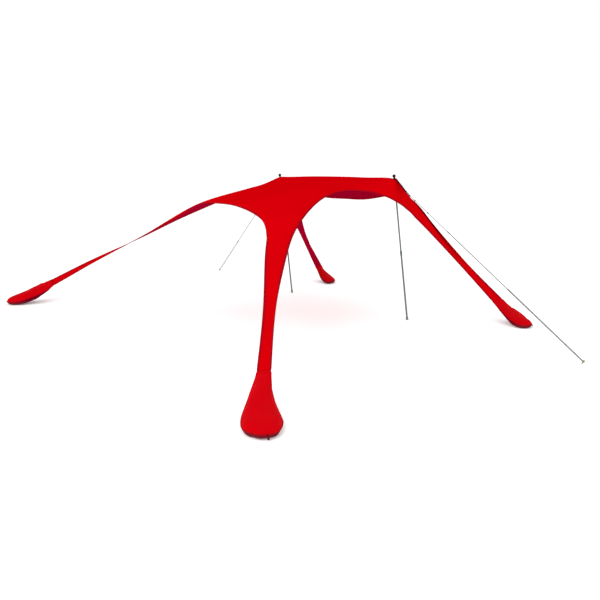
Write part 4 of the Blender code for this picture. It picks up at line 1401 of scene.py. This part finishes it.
def circle(centre, first, second, radius, count=40):
    turns = [2 * math.pi * k / count for k in range(count)]
    return np.array([centre + (first * math.cos(a) + second * math.sin(a)) * radius for a in turns])


def roundProfile(radius, count=8):
    return [(radius * math.cos(2 * math.pi * k / count), radius * math.sin(2 * math.pi * k / count))
            for k in range(count)]


def knotPath(centre, way, across, size):
    # an overhand knot, as a three-lobed closed curve round the cord
    lift = np.cross(way, across)
    turns = [2 * math.pi * k / 36 for k in range(36)]
    return [centre + size / 3 * (across * (math.sin(a) + 2 * math.sin(2 * a))
                                 + lift * (math.cos(a) - 2 * math.cos(2 * a))
                                 - way * 1.3 * math.sin(3 * a)) for a in turns]


def ribs(inner, outer, start, step, count, wide):
    # part of a profile with raised bands
    points = []
    for k in range(count):
        low = start + step * k
        points += [(inner, low), (outer, low + 0.0012), (outer, low + wide - 0.0012), (inner, low + wide)]
    return points


def strapMesh(line):
    level, drop, across = line["level"], line["drop"], line["across"]
    normal = unit(np.cross(drop, across))
    normal = normal if normal[2] > 0 else -normal
    levelUp = unit(np.cross(level, across))
    levelUp = levelUp if levelUp[2] > 0 else -levelUp
    bar = line["ring"] - drop * guyPlan["barBack"]
    gap = guyPlan["strapThick"] * 0.53
    wrap = guyPlan["ringWire"] + guyPlan["strapThick"] * 0.55
    begin, bend = line["start"], line["bend"]
    run = np.linalg.norm(bar - bend)
    points = [begin - level * guyPlan["strapPast"], begin, begin + level * 0.016, bend - level * 0.006,
              bend + drop * 0.012 + normal * gap * 0.5, bend + drop * 0.35 * run + normal * gap,
              bend + drop * 0.70 * run + normal * gap, bar - drop * 0.012 + normal * (gap + 0.0006),
              bar + normal * wrap, bar + drop * 0.7 * wrap + normal * 0.7 * wrap, bar + drop * wrap,
              bar + drop * 0.7 * wrap - normal * 0.7 * wrap, bar - normal * wrap,
              bar - drop * 0.012 - normal * (gap + 0.0006), bar - drop * 0.030 - normal * gap,
              bar - drop * guyPlan["strapBack"] - normal * gap]
    path, _, _ = throughPoints(points, 90)
    flats = []
    for place in path:
        share = ease((np.dot(place - begin, level) - 0.004) / 0.030)
        flat = unit(np.cross(line["axis"], level))
        flat = flat if flat @ across > 0 else -flat
        flats.append(unit((1 - share) * flat + share * across))
    mesh = sweep("strap", path, flats, webbingProfile(guyPlan["strapWide"], guyPlan["strapThick"]))
    edge = 0.5 * guyPlan["strapWide"] - 0.003
    face = normal * (gap + 0.5 * guyPlan["strapThick"] + 0.0003)
    corners = [bar - drop * back + across * out + face for back, out in
               ((0.052, -edge), (0.012, -edge), (0.012, edge), (0.052, edge))]
    box = (even(corners + corners[:1], 40)[:-1], True)
    cross = [(even([corners[k], corners[k + 2]], 12), False) for k in (0, 1)]
    return mesh, [box] + cross


def ringMesh(line):
    # a ring with one straight side for the strap, lying flat in the line
    arc = []
    for k in range(25):
        turn = math.pi * (k / 24 - 0.5)
        arc.append((guyPlan["ringRound"] * math.cos(turn), guyPlan["barHalf"] * math.sin(turn)))
    bar = [(-guyPlan["barBack"], guyPlan["barHalf"] * (1 - 2 * k / 8)) for k in range(9)]
    outline = [line["ring"] + line["way"] * x + line["across"] * y for x, y in arc + bar]
    path = even(outline + outline[:1], 60)[:-1]
    return sweep("ring", path, [line["lift"]] * len(path), roundProfile(guyPlan["ringWire"], 10), closed=True)


for side in sides:
    line = guyLine(side)
    axis, way, across, lift = line["axis"], line["way"], line["across"], line["lift"]
    tip = tipOf(side) + shift
    first = unit(np.cross(axis, [0.0, 1.0, 0.0]))
    second = np.cross(axis, first)
    patch = spun("patch", tipPlan["patch"], tip + axis * tipPlan["patchAt"], axis, steps=48)
    piece("tip_disc_" + side, patch, ["patchCloth"], ["tip_patch_" + side], sharp=60)
    piece("tip_disc_under_" + side, spun("under", tipPlan["under"], tip, axis, steps=48),
          ["patchCloth"])
    rounds = [(circle(tip + axis * high, first, second, radius), True) for high, radius in tipPlan["seams"]]
    grown("tip_stitches_" + side, rounds, stitches, stitchPlan["tip"])
    strap, sewnLines = strapMesh(line)
    piece("guy_webbing_" + side, strap, ["darkWebbing"], ["guy_strap_" + side])
    piece("guy_eyelet_" + side, spun("eyelet", tipPlan["grommet"], tip + axis * tipPlan["collarAt"], axis),
          ["darkWebbing"], ["guy_collar_" + side])
    grown("guy_webbing_stitches_" + side, sewnLines, stitches, stitchPlan["strap"])
    knob = subdivided(spun("knob", tipPlan["knob"], tip + axis * tipPlan["knobAt"], axis, steps=56,
                           flutes=tipPlan["flutes"], deep=tipPlan["fluteDeep"]), 1)
    piece("tip_finial_" + side, knob, ["knobPlastic"], ["tip_knob_" + side])
    piece("guy_dee_" + side, ringMesh(line), ["ringSteel"], ["guy_ring_" + side])

    ring = line["ring"]
    runnerAt = guyPlan["ringReach"] + (line["length"] - guyPlan["ringReach"]) * guyPlan["runnerAt"]
    runnerEnd = runnerAt + guyPlan["runnerLong"]
    spliceAt = (guyPlan["spliceOut"] - guyPlan["ringOut"]) / way.dot(line["level"])
    eyeFar = guyPlan["ringReach"] + guyPlan["eyeLong"]
    eye = []
    for a in (2 * math.pi * k / 32 for k in range(32)):
        along = guyPlan["ringRound"] - guyPlan["eyeBack"] + guyPlan["eyeLong"] * (0.5 - 0.5 * math.cos(a))
        eye.append(ring + way * along + lift * guyPlan["eyeHalf"] * math.sin(a))
    grown("guy_keeper_" + side, [(eye, True)], rope, ropePlan["keeper"])
    top = even([ring + way * eyeFar, ring + way * spliceAt], 40)
    grown("guy_rope_top_" + side, [(top, False)], rope, ropePlan["top"])
    main = even([ring + way * spliceAt, ring + way * (runnerAt + 0.004)], 60)
    grown("guy_rope_" + side, [(main, False)], rope, ropePlan["main"], ["guy_cord_" + side])
    knots = [(knotPath(ring + way * (eyeFar + 0.002), way, across, guyPlan["knotFirst"]), True)]
    for out in guyPlan["knotOut"]:
        at = (out - guyPlan["ringOut"]) / way.dot(line["level"])
        knots.append((knotPath(ring + way * at, way, across, guyPlan["knotLater"]), True))
    grown("guy_knots_" + side, knots, rope, ropePlan["knot"])
    wound, whipped = 1.05 * ropePlan["main"]["Radius"], 1.22 * ropePlan["main"]["Radius"]
    step = guyPlan["spliceLong"] / guyPlan["turns"]
    whipping = [(0.0, 0.0)] + ribs(wound, whipped, 0.0, step, guyPlan["turns"], 0.0036)
    whipping.append((0.0, guyPlan["spliceLong"]))
    piece("guy_whipping_" + side, spun("whipping", whipping, ring + way * spliceAt, way, steps=20),
          ["guyRopeDark"])
    bands = ribs(*(runnerPlan[key] for key in ("inner", "outer", "ribFrom", "ribStep", "ribs", "ribWide")))
    shell = runnerPlan["start"] + bands + runnerPlan["end"]
    piece("guy_slider_" + side, spun("slider", shell, ring + way * runnerAt, way, steps=32),
          ["runnerPlastic"], ["guy_runner_" + side], sharp=35)
    bend = guyPlan["post"] + ropePlan["loop"]["Radius"] + 0.0003
    nearEnd = runnerEnd + 0.0003 + ropePlan["loop"]["Radius"] + bend - 0.010
    around = []
    for x, turn in ((nearEnd, math.pi / 2), (line["length"], -math.pi / 2)):
        for k in range(13):
            angle = turn + math.pi * k / 12
            around.append(ring + way * (x + bend * math.cos(angle)) + across * bend * math.sin(angle))
    grown("guy_bight_" + side, [(around, True)], rope, ropePlan["loop"], ["guy_loop_" + side])
    print("tip and guy line made:", side)


# Solids that keep their own shape

for start, look in {"pole_lower_": "satinAlloy", "pole_sleeve_": "sleeveAlloy", "pole_upper_": "satinAlloy",
                    "stake_": "stakeSteel"}.items():
    for side in sides:
        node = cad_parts[start + side]
        node.data.materials.clear()
        node.data.materials.append(looks[look])
